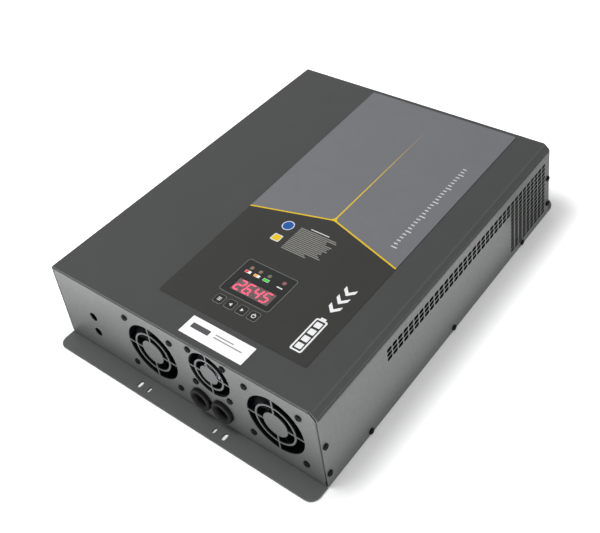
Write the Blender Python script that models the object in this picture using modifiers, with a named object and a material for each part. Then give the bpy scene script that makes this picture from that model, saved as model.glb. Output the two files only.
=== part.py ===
# Forklift battery charger: a flat sheet-steel case with three fans in its front face.
# Metres, +Z up. X runs across the fan face, Y from the fan face to the back.
# The origin is on the underside, in the middle of the base plate.

from math import asin, cos, pi, radians, sin

import bmesh
import bpy
from mathutils import Matrix, Vector

# Clearance between pieces that touch
GAP = 0.0003

# Case
BODY_WIDTH = 0.400
BODY_DEPTH = 0.494
BODY_HEIGHT = 0.112

# Base plate with its two mounting flanges
BASE_SHEET = 0.002
FLANGE_DEPTH = 0.0235
FLANGE_CORNER = 0.012
FLANGE_BACK_CORNER = 0.020
LIP_HEIGHT = 0.010
LIP_BEND = 0.003
SLOT_LINE = 0.0123
LARGE_SLOT_X = 0.0665
SLOT_SHIFT = 0.002
LARGE_SLOT_WIDTH = 0.005
LARGE_SLOT_LENGTH = 0.009
SMALL_SLOT_X = 0.0515
SMALL_SLOT_WIDTH = 0.0036
SMALL_SLOT_LENGTH = 0.007

# Cover: one sheet folded over the top, with a wide bend on the right and a tight one on the left
COVER_SHEET = 0.0015
COVER_BEND_RIGHT = 0.010
COVER_BEND_LEFT = 0.0036
COVER_SETBACK = 0.001
COVER_GROUND = 0.0005

# Front and rear panels, folded pans that fit inside the cover
PANEL_SHEET = 0.0015
PANEL_BEND = 0.0024
PANEL_RETURN = 0.014
PANEL_RELIEF = 0.004

# Cover screws
SCREW_SHANK = 0.004
SCREW_HEAD = 0.0074
SCREW_HEAD_HEIGHT = 0.0022
SCREW_LENGTH = 0.007
SCREW_EDGE = 0.0062
SCREW_UPPER_Z = 0.061
SCREW_LOWER_Z = 0.019
SCREW_BOTTOM_Z = 0.0056
SCREW_BOTTOM_SPACING = 0.170

# Ventilation slots, a straight grid of rows and columns
VENT_PITCH_ALONG = 0.0104
VENT_PITCH_DOWN = 0.0063
VENT_LENGTH = 0.0072
VENT_HEIGHT = 0.003
VENT_TOP_ROWS = 3
VENT_BLOCK_COLUMNS = 9
VENT_TOP_DROP = 0.0238
VENT_BOTTOM_EDGE = 0.012
VENT_BACK_EDGE = 0.0181
VENT_FRONT_EDGE = 0.120

# Fans
RIGHT_FAN_INSET = 0.0596
CENTRE_FAN_INSET = 0.1485
LEFT_FAN_INSET = 0.2396
LARGE_FAN_RISE = 0.0027
SMALL_FAN_CLEARANCE = 0.0006
LARGE_FAN_SIZE = 0.080
LARGE_FAN_HOLES = 0.0715
LARGE_FAN_OPENING = 0.038
SMALL_FAN_SIZE = 0.060
SMALL_FAN_HOLES = 0.050
SMALL_FAN_OPENING = 0.030
FAN_DEPTH = 0.025
FAN_WALL = 0.0015
FAN_CORNER = 0.005
FAN_SCREW_HOLE = 0.0044
FAN_BLADES = 7
BLADE_SHEET = 0.0012
BLADE_PITCH_ROOT = 48
BLADE_PITCH_TIP = 30
BLADE_SWEEP = 12
BLADE_SHARE = 0.62
BLADE_TIP_GAP = 0.001
HUB_SHARE = 0.44
HUB_WALL = 0.0014
HUB_LENGTH = 0.017
HUB_FRONT_GAP = 0.0035
MOTOR_PLATE = 0.003
STRUT_WIDTH = 0.0034
SHAFT = 0.003
SHAFT_LENGTH = 0.011

# Finger guards cut in the front panel, as shares of the opening
GUARD_RING_OUTER = 0.72
GUARD_RING_BAND = 0.0024
GUARD_DISC = 0.425
GUARD_SPOKE = 0.002

# Cable grommets and the two plain holes
GROMMET_OFFSET = 0.0055
GROMMET_SPACING = 0.032
GROMMET_SHARE = 0.56
GROMMET_HOLE = 0.022
GROMMET_RIM = 0.029
GROMMET_RIM_HEIGHT = 0.0055
GROMMET_INNER_RIM = 0.0234
GROMMET_INNER_HEIGHT = 0.003
GROMMET_BORE = 0.017
GROMMET_MOUTH = 0.021
SIDE_HOLE = 0.012
SIDE_HOLE_INSET = 0.0593
SIDE_HOLE_UPPER_Z = 0.0594
SIDE_HOLE_LOWER_Z = 0.0342

# Membrane overlay on the cover
FILM = 0.0004
FILM_FRONT_EDGE = 0.0415
FILM_BACK_EDGE = 0.0065
FILM_RIGHT_EDGE = 0.0445
FILM_WIDTH_FRONT = 0.2127
FILM_WIDTH_BACK = 0.2271
FILM_CORNER = 0.003

# Display and keys
WINDOW_INSET = 0.1169
WINDOW_SETBACK = 0.0535
WINDOW_WIDTH = 0.056
WINDOW_DEPTH = 0.020
DISPLAY_HEIGHT = 0.0077
KEY_COUNT = 4
KEY_FIRST_INSET = 0.1421
KEY_PITCH = 0.0167
KEY_SETBACK = 0.0252
KEY_HOLE = 0.008
KEY_TRAVEL = 0.00025
SWITCH_SIZE = 0.006
SWITCH_HEIGHT = 0.0035
SWITCH_FLOOR = 0.0009
PLUNGER = 0.0034
LAMP_SETBACK = 0.0808
LAMP_INSETS = (0.1421, 0.1290, 0.1157, 0.0941)
LAMP = 0.003
LAMP_HOLE = 0.005
BOARD_SHEET = 0.0016
DISPLAY_BOARD_WIDTH = 0.092
DISPLAY_BOARD_DEPTH = 0.080
SPACER = 0.006
SPACER_BORE = 0.003
SPACER_INSET = 0.005

# Power board and what stands on it
POWER_BOARD_SIDE_GAP = 0.0262
POWER_BOARD_END_GAP = 0.082
POWER_BOARD_SHEET = 0.002
STANDOFF = 0.008
STANDOFF_HEIGHT = 0.008
STANDOFF_INSET = 0.010
HEATSINK_WIDTH = 0.056
HEATSINK_HEIGHT = 0.060
HEATSINK_FRONT_GAP = 0.010
HEATSINK_BACK_GAP = 0.110
HEATSINK_BASE = 0.008
HEATSINK_FINS = 7
HEATSINK_FIN = 0.0025
CORE_WIDTH = 0.066
CORE_HEIGHT = 0.050
CORE_DEPTH = 0.030
CORE_YOKE = 0.010
CORE_LEG = 0.020
CORE_ALONG = 0.333
CHOKE = 0.056
CHOKE_EYE = 0.022
CHOKE_HEIGHT = 0.026
CHOKE_ALONG = 0.833
CAPACITOR = 0.035
CAPACITOR_HEIGHT = 0.050
CAPACITOR_BEVEL = 0.0015
CAPACITOR_FIRST_GAP = 0.032
CAPACITOR_PITCH = 0.040
CAPACITOR_ALONG = 0.833
RELAY_SIZE = (0.030, 0.040, 0.028)
RELAY_PLACE = (0.651, 0.591)
FUSE_SIZE = (0.014, 0.034, 0.016)
FUSE_PLACE = (0.733, 0.788)
FILTER_SIZE = (0.046, 0.040, 0.036)
FILTER_PLACE = (0.587, 0.848)
TERMINAL_SIZE = (0.026, 0.020, 0.022)
TERMINAL_SETBACK = 0.019
TERMINAL_SLOT = (0.009, 0.008)

# Facets of round shapes
BEND_FACETS = 3
PANEL_CORNER_FACETS = 2
HOLE_FACETS = 8
SCREW_FACETS = 8
BORE_FACETS = 24
HUB_FACETS = 14
ROUND_FACETS = 16
CAN_FACETS = 14

# Places that follow from the sizes above
HALF_WIDTH = BODY_WIDTH / 2
HALF_DEPTH = BODY_DEPTH / 2
FLANGE_EDGE = HALF_DEPTH + FLANGE_DEPTH
COVER_END = HALF_DEPTH - COVER_SETBACK
INNER_HALF = HALF_WIDTH - COVER_SHEET - GAP
COVER_UNDERSIDE = BODY_HEIGHT - COVER_SHEET
PANEL_BOTTOM = BASE_SHEET + GAP
PANEL_TOP = COVER_UNDERSIDE - GAP
RETURN_END = HALF_DEPTH - PANEL_RETURN
LIP_END = RETURN_END - GAP
SCREW_HOLE = SCREW_SHANK + 2 * GAP
RIGHT_FAN_X = HALF_WIDTH - RIGHT_FAN_INSET
CENTRE_FAN_X = HALF_WIDTH - CENTRE_FAN_INSET
LEFT_FAN_X = HALF_WIDTH - LEFT_FAN_INSET
LARGE_FAN_Z = BODY_HEIGHT / 2 + LARGE_FAN_RISE
SMALL_FAN_BOTTOM = PANEL_TOP - PANEL_SHEET - SMALL_FAN_CLEARANCE - SMALL_FAN_SIZE
SMALL_FAN_Z = SMALL_FAN_BOTTOM + SMALL_FAN_SIZE / 2
GROMMET_X = CENTRE_FAN_X - GROMMET_OFFSET
GROMMET_Z = BASE_SHEET + GROMMET_SHARE * (SMALL_FAN_BOTTOM - BASE_SHEET)
SIDE_HOLE_X = -HALF_WIDTH + SIDE_HOLE_INSET
VENT_LAST_Y = HALF_DEPTH - VENT_BACK_EDGE
VENT_TOP_Z = BODY_HEIGHT - VENT_TOP_DROP
VENT_COLUMNS = int((VENT_LAST_Y + HALF_DEPTH - VENT_FRONT_EDGE) / VENT_PITCH_ALONG) + 1
VENT_BLOCK_ROWS = int((VENT_TOP_Z - VENT_BOTTOM_EDGE) / VENT_PITCH_DOWN) + 1
FAN_FRONT = -HALF_DEPTH + PANEL_SHEET + GAP
FAN_BACK = FAN_FRONT + FAN_DEPTH
FILM_UNDERSIDE = BODY_HEIGHT + GAP
FILM_FRONT = -HALF_DEPTH + FILM_FRONT_EDGE
FILM_BACK = HALF_DEPTH - FILM_BACK_EDGE
FILM_RIGHT = HALF_WIDTH - FILM_RIGHT_EDGE
WINDOW_X = FILM_RIGHT - WINDOW_INSET
WINDOW_Y = FILM_FRONT + WINDOW_SETBACK
KEY_FIRST_X = FILM_RIGHT - KEY_FIRST_INSET
KEY_Y = FILM_FRONT + KEY_SETBACK
LAMP_ROW_Y = FILM_FRONT + LAMP_SETBACK
KEY_TOP = FILM_UNDERSIDE - GAP
DISPLAY_TOP = BODY_HEIGHT - GAP
DISPLAY_BOARD_TOP = DISPLAY_TOP - DISPLAY_HEIGHT - GAP
POWER_BOARD_BOTTOM = BASE_SHEET + STANDOFF_HEIGHT + 2 * GAP
POWER_BOARD_TOP = POWER_BOARD_BOTTOM + POWER_BOARD_SHEET
POWER_BOARD_HALF_WIDTH = INNER_HALF - POWER_BOARD_SIDE_GAP
POWER_BOARD_HALF_DEPTH = HALF_DEPTH - POWER_BOARD_END_GAP
BOARD_SEAT = POWER_BOARD_TOP + GAP
HEATSINK_FRONT = -POWER_BOARD_HALF_DEPTH + HEATSINK_FRONT_GAP
HEATSINK_BACK = POWER_BOARD_HALF_DEPTH - HEATSINK_BACK_GAP
TERMINAL_Y = -POWER_BOARD_HALF_DEPTH + TERMINAL_SETBACK

# Turns that lay an outline drawn in X and Y into another plane
FLAT = Matrix.Identity(4)
FACING_FRONT = Matrix(((1, 0, 0, 0), (0, 0, -1, 0), (0, 1, 0, 0), (0, 0, 0, 1)))
FACING_RIGHT = Matrix(((0, 0, 1, 0), (1, 0, 0, 0), (0, 1, 0, 0), (0, 0, 0, 1)))

parts = None
cutters = None
materials = {}


def clear_scene():
    """Removes whatever the file holds at the start."""
    for item in list(bpy.data.objects):
        bpy.data.objects.remove(item, do_unlink=True)


def make_collection(name):
    """Makes a collection in the scene."""
    collection = bpy.data.collections.new(name)
    bpy.context.scene.collection.children.link(collection)
    return collection


def material(name, colour, roughness, metallic=0.0):
    """Makes a material once, and gives it back each time its name is asked for."""
    if name not in materials:
        made = bpy.data.materials.new(name)
        made.use_nodes = True
        shader = made.node_tree.nodes["Principled BSDF"]
        shader.inputs["Base Color"].default_value = (*colour, 1.0)
        shader.inputs["Roughness"].default_value = roughness
        shader.inputs["Metallic"].default_value = metallic
        materials[name] = made
    return materials[name]


def powder_coat():
    return material("grey_powder_coat", (0.095, 0.098, 0.096), 0.42)


def black_steel():
    return material("black_screw_steel", (0.02, 0.02, 0.02), 0.4, 0.6)


def black_plastic():
    return material("black_plastic", (0.012, 0.012, 0.013), 0.5)


def black_rubber():
    return material("black_rubber", (0.015, 0.015, 0.016), 0.7)


def board_green():
    return material("green_board", (0.02, 0.10, 0.05), 0.5)


def place(name, mesh, finish, smooth=False):
    """Puts a mesh in the scene as a piece of the charger."""
    piece = bpy.data.objects.new(name, mesh)
    parts.objects.link(piece)
    mesh.materials.append(finish)
    if smooth:
        mesh.shade_smooth()
        mesh.set_sharp_from_angle(angle=radians(35))
    return piece


def place_cutter(name, mesh):
    """Puts a mesh in the scene as a cutter or as a body to be joined to a piece."""
    tool = bpy.data.objects.new(name, mesh)
    cutters.objects.link(tool)
    tool.hide_render = True
    tool.display_type = "WIRE"
    return tool


def boolean(piece, tool, operation):
    """Adds a Boolean of the tool to the piece."""
    step = piece.modifiers.new(f"{operation.lower()}_{tool.name}", "BOOLEAN")
    step.operation = operation
    step.solver = "EXACT"
    step.object = tool


def mesh_from(shape):
    """Turns a finished bmesh into a mesh."""
    mesh = bpy.data.meshes.new("shape")
    bmesh.ops.recalc_face_normals(shape, faces=shape.faces)
    shape.to_mesh(mesh)
    shape.free()
    return mesh


def box_mesh(low, high):
    """A box between two corners."""
    low, high = Vector(low), Vector(high)
    shape = bmesh.new()
    bmesh.ops.create_cube(shape, size=1.0)
    bmesh.ops.scale(shape, vec=high - low, verts=shape.verts)
    bmesh.ops.translate(shape, vec=(low + high) / 2, verts=shape.verts)
    return mesh_from(shape)


def seated_box(centre_x, centre_y, bottom, size):
    """A box of a given size, standing on a level."""
    low = (centre_x - size[0] / 2, centre_y - size[1] / 2, bottom)
    high = (centre_x + size[0] / 2, centre_y + size[1] / 2, bottom + size[2])
    return box_mesh(low, high)


def circle(centre, diameter, facets):
    """Points of a circle, starting half a facet round so that small ones stand square."""
    turn = 2 * pi / facets
    radius = diameter / 2
    return [(centre[0] + radius * cos(turn * (k + 0.5)), centre[1] + radius * sin(turn * (k + 0.5)))
            for k in range(facets)]


def arc(centre, radius, start, end, facets):
    """Points of an arc between two angles in degrees."""
    angles = [radians(start + (end - start) * k / facets) for k in range(facets + 1)]
    return [(centre[0] + radius * cos(a), centre[1] + radius * sin(a)) for a in angles]


def slot(centre, width, length, facets=4):
    """An oblong along Y with round ends."""
    straight = (length - width) / 2
    upper = arc((centre[0], centre[1] + straight), width / 2, 0, 180, facets)
    lower = arc((centre[0], centre[1] - straight), width / 2, 180, 360, facets)
    return upper + lower


def rectangle(low, high):
    """A rectangle between two corners."""
    return [(low[0], low[1]), (high[0], low[1]), (high[0], high[1]), (low[0], high[1])]


def sheet_mesh(outlines, start, end, turn=FLAT):
    """A flat outline with its holes as inner outlines, given thickness from start to end along its normal."""
    curve = bpy.data.curves.new("outline", "CURVE")
    curve.dimensions = "2D"
    curve.fill_mode = "BOTH"
    curve.extrude = (end - start) / 2
    for points in outlines:
        spline = curve.splines.new("POLY")
        spline.points.add(len(points) - 1)
        spline.points.foreach_set("co", [value for p in points for value in (p[0], p[1], 0.0, 1.0)])
        spline.use_cyclic_u = True
    holder = bpy.data.objects.new("outline", curve)
    bpy.context.scene.collection.objects.link(holder)
    bpy.context.view_layer.update()
    evaluated = holder.evaluated_get(bpy.context.evaluated_depsgraph_get())
    mesh = bpy.data.meshes.new_from_object(evaluated)
    bpy.data.objects.remove(holder, do_unlink=True)
    shape = bmesh.new()
    shape.from_mesh(mesh)
    bmesh.ops.remove_doubles(shape, verts=shape.verts, dist=0.000002)
    bmesh.ops.translate(shape, vec=(0, 0, (start + end) / 2), verts=shape.verts)
    bmesh.ops.transform(shape, matrix=turn, verts=shape.verts)
    bpy.data.meshes.remove(mesh)
    return mesh_from(shape)


def turned(piece, axis_turn, facets):
    """Spins the piece's profile about its own Z axis and lays that axis where it belongs."""
    screw = piece.modifiers.new("turn", "SCREW")
    screw.axis = "Z"
    screw.steps = facets
    screw.render_steps = facets
    screw.use_merge_vertices = True
    screw.merge_threshold = 0.00001
    piece.matrix_world = axis_turn


def profile_mesh(points):
    """An open line of points in X and Z, from the axis round the outer side and back to the axis."""
    mesh = bpy.data.meshes.new("profile")
    edges = [(k, k + 1) for k in range(len(points) - 1)]
    mesh.from_pydata([(x, 0.0, z) for x, z in points], edges, [])
    return mesh


def ring_profile_mesh(points):
    """A closed line of points in X and Z that never reaches the axis."""
    mesh = bpy.data.meshes.new("profile")
    edges = [(k, (k + 1) % len(points)) for k in range(len(points))]
    mesh.from_pydata([(x, 0.0, z) for x, z in points], edges, [])
    return mesh


def base_outline():
    """The base plate's edge: a rectangle with round corners, larger ones at the back."""
    corners = rectangle((-HALF_WIDTH, -FLANGE_EDGE), (HALF_WIDTH, FLANGE_EDGE))
    front = [p for p in round_corners(corners, FLANGE_CORNER, 5) if p[1] < 0]
    back = [p for p in round_corners(corners, FLANGE_BACK_CORNER, 5) if p[1] > 0]
    return front + back


def base_side_outline(side):
    """What comes off the plate along one side, so that it fits inside the cover and leaves the lip room."""
    wide_start = COVER_END + GAP
    lip_side = INNER_HALF - LIP_BEND
    beyond = HALF_WIDTH + COVER_SHEET
    upper = [(beyond, wide_start), (INNER_HALF, wide_start), (INNER_HALF, LIP_END), (lip_side, LIP_END)]
    return [(side * x, y) for x, y in upper + [(x, -y) for x, y in reversed(upper)]]


def flange_slots():
    """The slots of both flanges, the small ones inside the large ones."""
    line = HALF_DEPTH + SLOT_LINE
    holes = []
    for side in (-1, 1):
        for end in (-1, 1):
            holes.append(slot((side * LARGE_SLOT_X + SLOT_SHIFT, end * line), LARGE_SLOT_WIDTH, LARGE_SLOT_LENGTH))
            holes.append(slot((side * SMALL_SLOT_X + SLOT_SHIFT, end * line), SMALL_SLOT_WIDTH, SMALL_SLOT_LENGTH, 3))
    return holes


def lip_outline(side):
    """The folded lip in X and Z: a short piece of floor, the bend, and the upright."""
    inner_bend = LIP_BEND - BASE_SHEET
    centre = (INNER_HALF - LIP_BEND, LIP_BEND)
    outer = arc(centre, LIP_BEND, 270, 360, BEND_FACETS)
    inner = arc(centre, inner_bend, 360, 270, BEND_FACETS)
    floor = centre[0] - BASE_SHEET
    points = [(floor, 0.0)] + outer + [(INNER_HALF, LIP_HEIGHT), (INNER_HALF - BASE_SHEET, LIP_HEIGHT)]
    points += inner + [(floor, BASE_SHEET)]
    return [(side * x, z) for x, z in points]


def make_base_plate():
    """The flat plate that runs out as the flanges, with a lip folded up along each side."""
    plate = place("base_plate", sheet_mesh([base_outline()] + flange_slots(), 0.0, BASE_SHEET), powder_coat())
    for side in (-1, 1):
        notch = sheet_mesh([base_side_outline(side)], -BASE_SHEET, 2 * BASE_SHEET)
        boolean(plate, place_cutter(f"base_side_{side}", notch), "DIFFERENCE")
        lip = sheet_mesh([lip_outline(side)], -LIP_END + GAP, LIP_END - GAP, FACING_FRONT)
        boolean(plate, place_cutter(f"base_lip_{side}", lip), "UNION")
    for y in bottom_screw_places():
        tool = screw_hole_tool(f"lip_hole_{y:.3f}", y, SCREW_BOTTOM_Z, HALF_WIDTH)
        boolean(plate, tool, "DIFFERENCE")


def pan_outline(inset):
    """The panel's face in X and Z, drawn in by an inset, with upper corners that clear the cover's bends."""
    left, right = -INNER_HALF + inset, INNER_HALF - inset
    low, high = PANEL_BOTTOM + inset, PANEL_TOP - inset
    radius = COVER_BEND_RIGHT - COVER_SHEET - GAP - inset
    points = [(left, low), (right, low)]
    points += arc((right - radius, high - radius), radius, 0, 90, PANEL_CORNER_FACETS)
    cut = COVER_BEND_LEFT - COVER_SHEET - GAP
    if inset > 0:
        return points + [(left, high)]
    return points + [(left + cut, high), (left, high - cut)]


def pan_block(inset, front, back, radius, end):
    """A block of the panel's outline with its outer edges rounded; end is -1 in front and 1 behind."""
    shape = bmesh.new()
    corners = [shape.verts.new((x, end * front, z)) for x, z in pan_outline(inset)]
    face = shape.faces.new(corners)
    extruded = bmesh.ops.extrude_face_region(shape, geom=[face])
    moved = [item for item in extruded["geom"] if isinstance(item, bmesh.types.BMVert)]
    bmesh.ops.translate(shape, vec=(0, end * (back - front), 0), verts=moved)
    edges = [e for e in shape.edges if all(abs(v.co.y - end * front) < 1e-6 for v in e.verts)]
    bmesh.ops.bevel(shape, geom=edges, offset=radius, segments=BEND_FACETS, profile=0.5, affect="EDGES")
    return mesh_from(shape)


def pan_reliefs(end):
    """Blocks that open the corners between the folded returns."""
    shape = bmesh.new()
    start = HALF_DEPTH - PANEL_BEND
    for x in (-INNER_HALF, INNER_HALF):
        for z in (PANEL_BOTTOM, PANEL_TOP):
            size = 2 * PANEL_RELIEF
            made = bmesh.ops.create_cube(shape, size=1.0)["verts"]
            bmesh.ops.scale(shape, vec=(size, 2 * PANEL_RETURN, size), verts=made)
            bmesh.ops.translate(shape, vec=(x, end * (start - PANEL_RETURN), z), verts=made)
    return mesh_from(shape)


def make_pan(name, end):
    """A panel folded on all four sides: a rounded block, hollowed from behind."""
    panel = place(name, pan_block(0.0, HALF_DEPTH, RETURN_END, PANEL_BEND, end), powder_coat())
    hollow = pan_block(PANEL_SHEET, HALF_DEPTH - PANEL_SHEET, RETURN_END - PANEL_RETURN,
                       PANEL_BEND - PANEL_SHEET, end)
    boolean(panel, place_cutter(f"{name}_hollow", hollow), "DIFFERENCE")
    boolean(panel, place_cutter(f"{name}_reliefs", pan_reliefs(end)), "DIFFERENCE")
    y = end * (HALF_DEPTH - SCREW_EDGE)
    for z in (SCREW_LOWER_Z, SCREW_UPPER_Z):
        boolean(panel, screw_hole_tool(f"{name}_hole_{z:.3f}", y, z, HALF_WIDTH), "DIFFERENCE")
    return panel


def guard_sector(centre, inner, outer, quarter, facets):
    """One opening of a finger guard, between two rings and two spokes of even width."""
    half = GUARD_SPOKE / 2
    middle = 90 * quarter + 45
    reach = 45 - asin(half / outer) * 180 / pi
    points = arc(centre, outer, middle - reach, middle + reach, facets)
    reach = 45 - asin(half / inner) * 180 / pi
    return points + arc(centre, inner, middle + reach, middle - reach, max(3, facets - 2))


def guard_openings(x, z, opening):
    """The eight openings of a finger guard."""
    ring_outer = opening * GUARD_RING_OUTER
    ring_inner = ring_outer - GUARD_RING_BAND
    outlines = []
    for quarter in range(4):
        outlines.append(guard_sector((x, z), ring_outer, opening, quarter, 8))
        outlines.append(guard_sector((x, z), opening * GUARD_DISC, ring_inner, quarter, 6))
    return outlines


def fan_places():
    """Each fan: its name, place, frame size, screw spacing and opening."""
    large = (LARGE_FAN_SIZE, LARGE_FAN_HOLES, LARGE_FAN_OPENING)
    small = (SMALL_FAN_SIZE, SMALL_FAN_HOLES, SMALL_FAN_OPENING)
    return (("left", LEFT_FAN_X, LARGE_FAN_Z, *large),
            ("centre", CENTRE_FAN_X, SMALL_FAN_Z, *small),
            ("right", RIGHT_FAN_X, LARGE_FAN_Z, *large))


def fan_screw_holes(x, z, spacing, facets):
    """The four screw holes of a fan."""
    half = spacing / 2
    return [circle((x + sx * half, z + sz * half), FAN_SCREW_HOLE, facets)
            for sx in (-1, 1) for sz in (-1, 1)]


def grommet_places():
    return (GROMMET_X - GROMMET_SPACING / 2, GROMMET_X + GROMMET_SPACING / 2)


def make_front_panel():
    """The fan face, with three finger guards, screw holes, cable holes and two plain holes."""
    panel = make_pan("front_panel", -1)
    outlines = []
    for _, x, z, _, spacing, opening in fan_places():
        outlines += guard_openings(x, z, opening)
        outlines += fan_screw_holes(x, z, spacing, 6)
    outlines += [circle((x, GROMMET_Z), GROMMET_HOLE, ROUND_FACETS) for x in grommet_places()]
    outlines += [circle((SIDE_HOLE_X, z), SIDE_HOLE, 12) for z in (SIDE_HOLE_LOWER_Z, SIDE_HOLE_UPPER_Z)]
    front, behind = HALF_DEPTH + PANEL_SHEET, HALF_DEPTH - 2 * PANEL_SHEET
    tool = place_cutter("front_panel_holes", sheet_mesh(outlines, behind, front, FACING_FRONT))
    boolean(panel, tool, "DIFFERENCE")


def cover_outline():
    """The cover's section in X and Z: up the left side, over the top and down the right side."""
    right_out = (HALF_WIDTH - COVER_BEND_RIGHT, BODY_HEIGHT - COVER_BEND_RIGHT)
    left_out = (-HALF_WIDTH + COVER_BEND_LEFT, BODY_HEIGHT - COVER_BEND_LEFT)
    wide, tight = COVER_BEND_RIGHT, COVER_BEND_LEFT
    outer = [(-HALF_WIDTH, COVER_GROUND)]
    outer += arc(left_out, tight, 180, 90, BEND_FACETS) + arc(right_out, wide, 90, 0, 2 * BEND_FACETS)
    outer += [(HALF_WIDTH, COVER_GROUND), (HALF_WIDTH - COVER_SHEET, COVER_GROUND)]
    inner = arc(right_out, wide - COVER_SHEET, 0, 90, 2 * BEND_FACETS)
    inner += arc(left_out, tight - COVER_SHEET, 90, 180, BEND_FACETS)
    return outer + inner + [(-HALF_WIDTH + COVER_SHEET, COVER_GROUND)]


def vent_slots():
    """The vent grid in Y and Z: a full-height block at the back, and rows along the top."""
    outlines = []
    for column in range(VENT_COLUMNS):
        y = VENT_LAST_Y - column * VENT_PITCH_ALONG
        for row in range(VENT_BLOCK_ROWS if column < VENT_BLOCK_COLUMNS else VENT_TOP_ROWS):
            z = VENT_TOP_Z - row * VENT_PITCH_DOWN
            low = (y - VENT_LENGTH / 2, z - VENT_HEIGHT / 2)
            outlines.append(rectangle(low, (low[0] + VENT_LENGTH, low[1] + VENT_HEIGHT)))
    return outlines


def bottom_screw_places():
    return (-SCREW_BOTTOM_SPACING, 0.0, SCREW_BOTTOM_SPACING)


def side_screw_places():
    """Each screw of one side, in Y and Z."""
    edge = HALF_DEPTH - SCREW_EDGE
    places = [(end * edge, z) for end in (-1, 1) for z in (SCREW_LOWER_Z, SCREW_UPPER_Z)]
    return places + [(y, SCREW_BOTTOM_Z) for y in bottom_screw_places()]


def screw_hole_tool(name, y, z, reach):
    """Two round bars, one through each side of the case."""
    outline = [circle((y, z), SCREW_HOLE, HOLE_FACETS)]
    inside = INNER_HALF - 2 * BASE_SHEET
    shape = bmesh.new()
    for low, high in ((inside, reach + COVER_SHEET), (-reach - COVER_SHEET, -inside)):
        mesh = sheet_mesh(outline, low, high, FACING_RIGHT)
        shape.from_mesh(mesh)
        bpy.data.meshes.remove(mesh)
    return place_cutter(name, mesh_from(shape))


def make_cover():
    """The folded cover with its vents, screw holes and the openings under the overlay."""
    folded = sheet_mesh([cover_outline()], -COVER_END, COVER_END, FACING_FRONT)
    cover = place("top_cover", folded, powder_coat())
    thick = 2 * COVER_SHEET
    for side in (-1, 1):
        outlines = [circle(centre, SCREW_HOLE, HOLE_FACETS) for centre in side_screw_places()]
        outlines += vent_slots() if side == 1 else []
        low, high = sorted((side * (HALF_WIDTH - thick), side * (HALF_WIDTH + COVER_SHEET)))
        tool = place_cutter(f"cover_side_{side}", sheet_mesh(outlines, low, high, FACING_RIGHT))
        boolean(cover, tool, "DIFFERENCE")
    half_x, half_y = WINDOW_WIDTH / 2, WINDOW_DEPTH / 2
    top = [rectangle((WINDOW_X - half_x, WINDOW_Y - half_y), (WINDOW_X + half_x, WINDOW_Y + half_y))]
    top += [circle((x, KEY_Y), KEY_HOLE, 10) for x in key_places()]
    top += [circle((x, LAMP_ROW_Y), LAMP_HOLE, HOLE_FACETS) for x in lamp_places()]
    tool = place_cutter("cover_top_openings", sheet_mesh(top, BODY_HEIGHT - thick, BODY_HEIGHT + COVER_SHEET))
    boolean(cover, tool, "DIFFERENCE")


def key_places():
    return [KEY_FIRST_X + k * KEY_PITCH for k in range(KEY_COUNT)]


def lamp_places():
    return [FILM_RIGHT - inset for inset in LAMP_INSETS]


def make_screws():
    """Pan-head screws that hold the cover's sides to the panels and to the base's lips."""
    head, shank = SCREW_HEAD / 2, SCREW_SHANK / 2
    points = [(0.0, SCREW_HEAD_HEIGHT), (head * 0.68, SCREW_HEAD_HEIGHT * 0.86), (head, 0.0), (shank, 0.0),
              (shank, -SCREW_LENGTH), (0.0, -SCREW_LENGTH)]
    for side, word in ((1, "right"), (-1, "left")):
        for number, (y, z) in enumerate(side_screw_places(), 1):
            screw = place(f"cover_screw_{word}_{number}", profile_mesh(points), black_steel(), smooth=True)
            seat = Matrix.Translation((side * (HALF_WIDTH + GAP), y, z))
            turned(screw, seat @ Matrix.Rotation(side * pi / 2, 4, "Y"), SCREW_FACETS)


def make_grommets():
    """Rubber grommets: a groove holds the panel's sheet, and a funnel-shaped mouth leads to the bore."""
    rim, mouth, bore = GROMMET_RIM / 2, GROMMET_MOUTH / 2, GROMMET_BORE / 2
    groove = GROMMET_HOLE / 2 - GAP
    inner_rim = GROMMET_INNER_RIM / 2
    front, back = GAP + GROMMET_RIM_HEIGHT, -PANEL_SHEET - GAP
    points = [(mouth, front), (rim - 0.0012, front), (rim, front - 0.0014), (rim, GAP), (groove, GAP),
              (groove, back), (inner_rim, back), (inner_rim - 0.001, back - GROMMET_INNER_HEIGHT),
              (bore, back - GROMMET_INNER_HEIGHT)]
    for word, x in zip(("left", "right"), grommet_places()):
        grommet = place(f"cable_grommet_{word}", ring_profile_mesh(points), black_rubber(), smooth=True)
        seat = Matrix.Translation((x, -HALF_DEPTH, GROMMET_Z))
        turned(grommet, seat @ Matrix.Rotation(pi / 2, 4, "X"), ROUND_FACETS)


def duct_radius(size):
    """The radius of the round duct in a fan's square frame."""
    return size / 2 - FAN_WALL


def hub_radius(size):
    """The radius of a fan's hub."""
    return duct_radius(size) * HUB_SHARE


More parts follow.
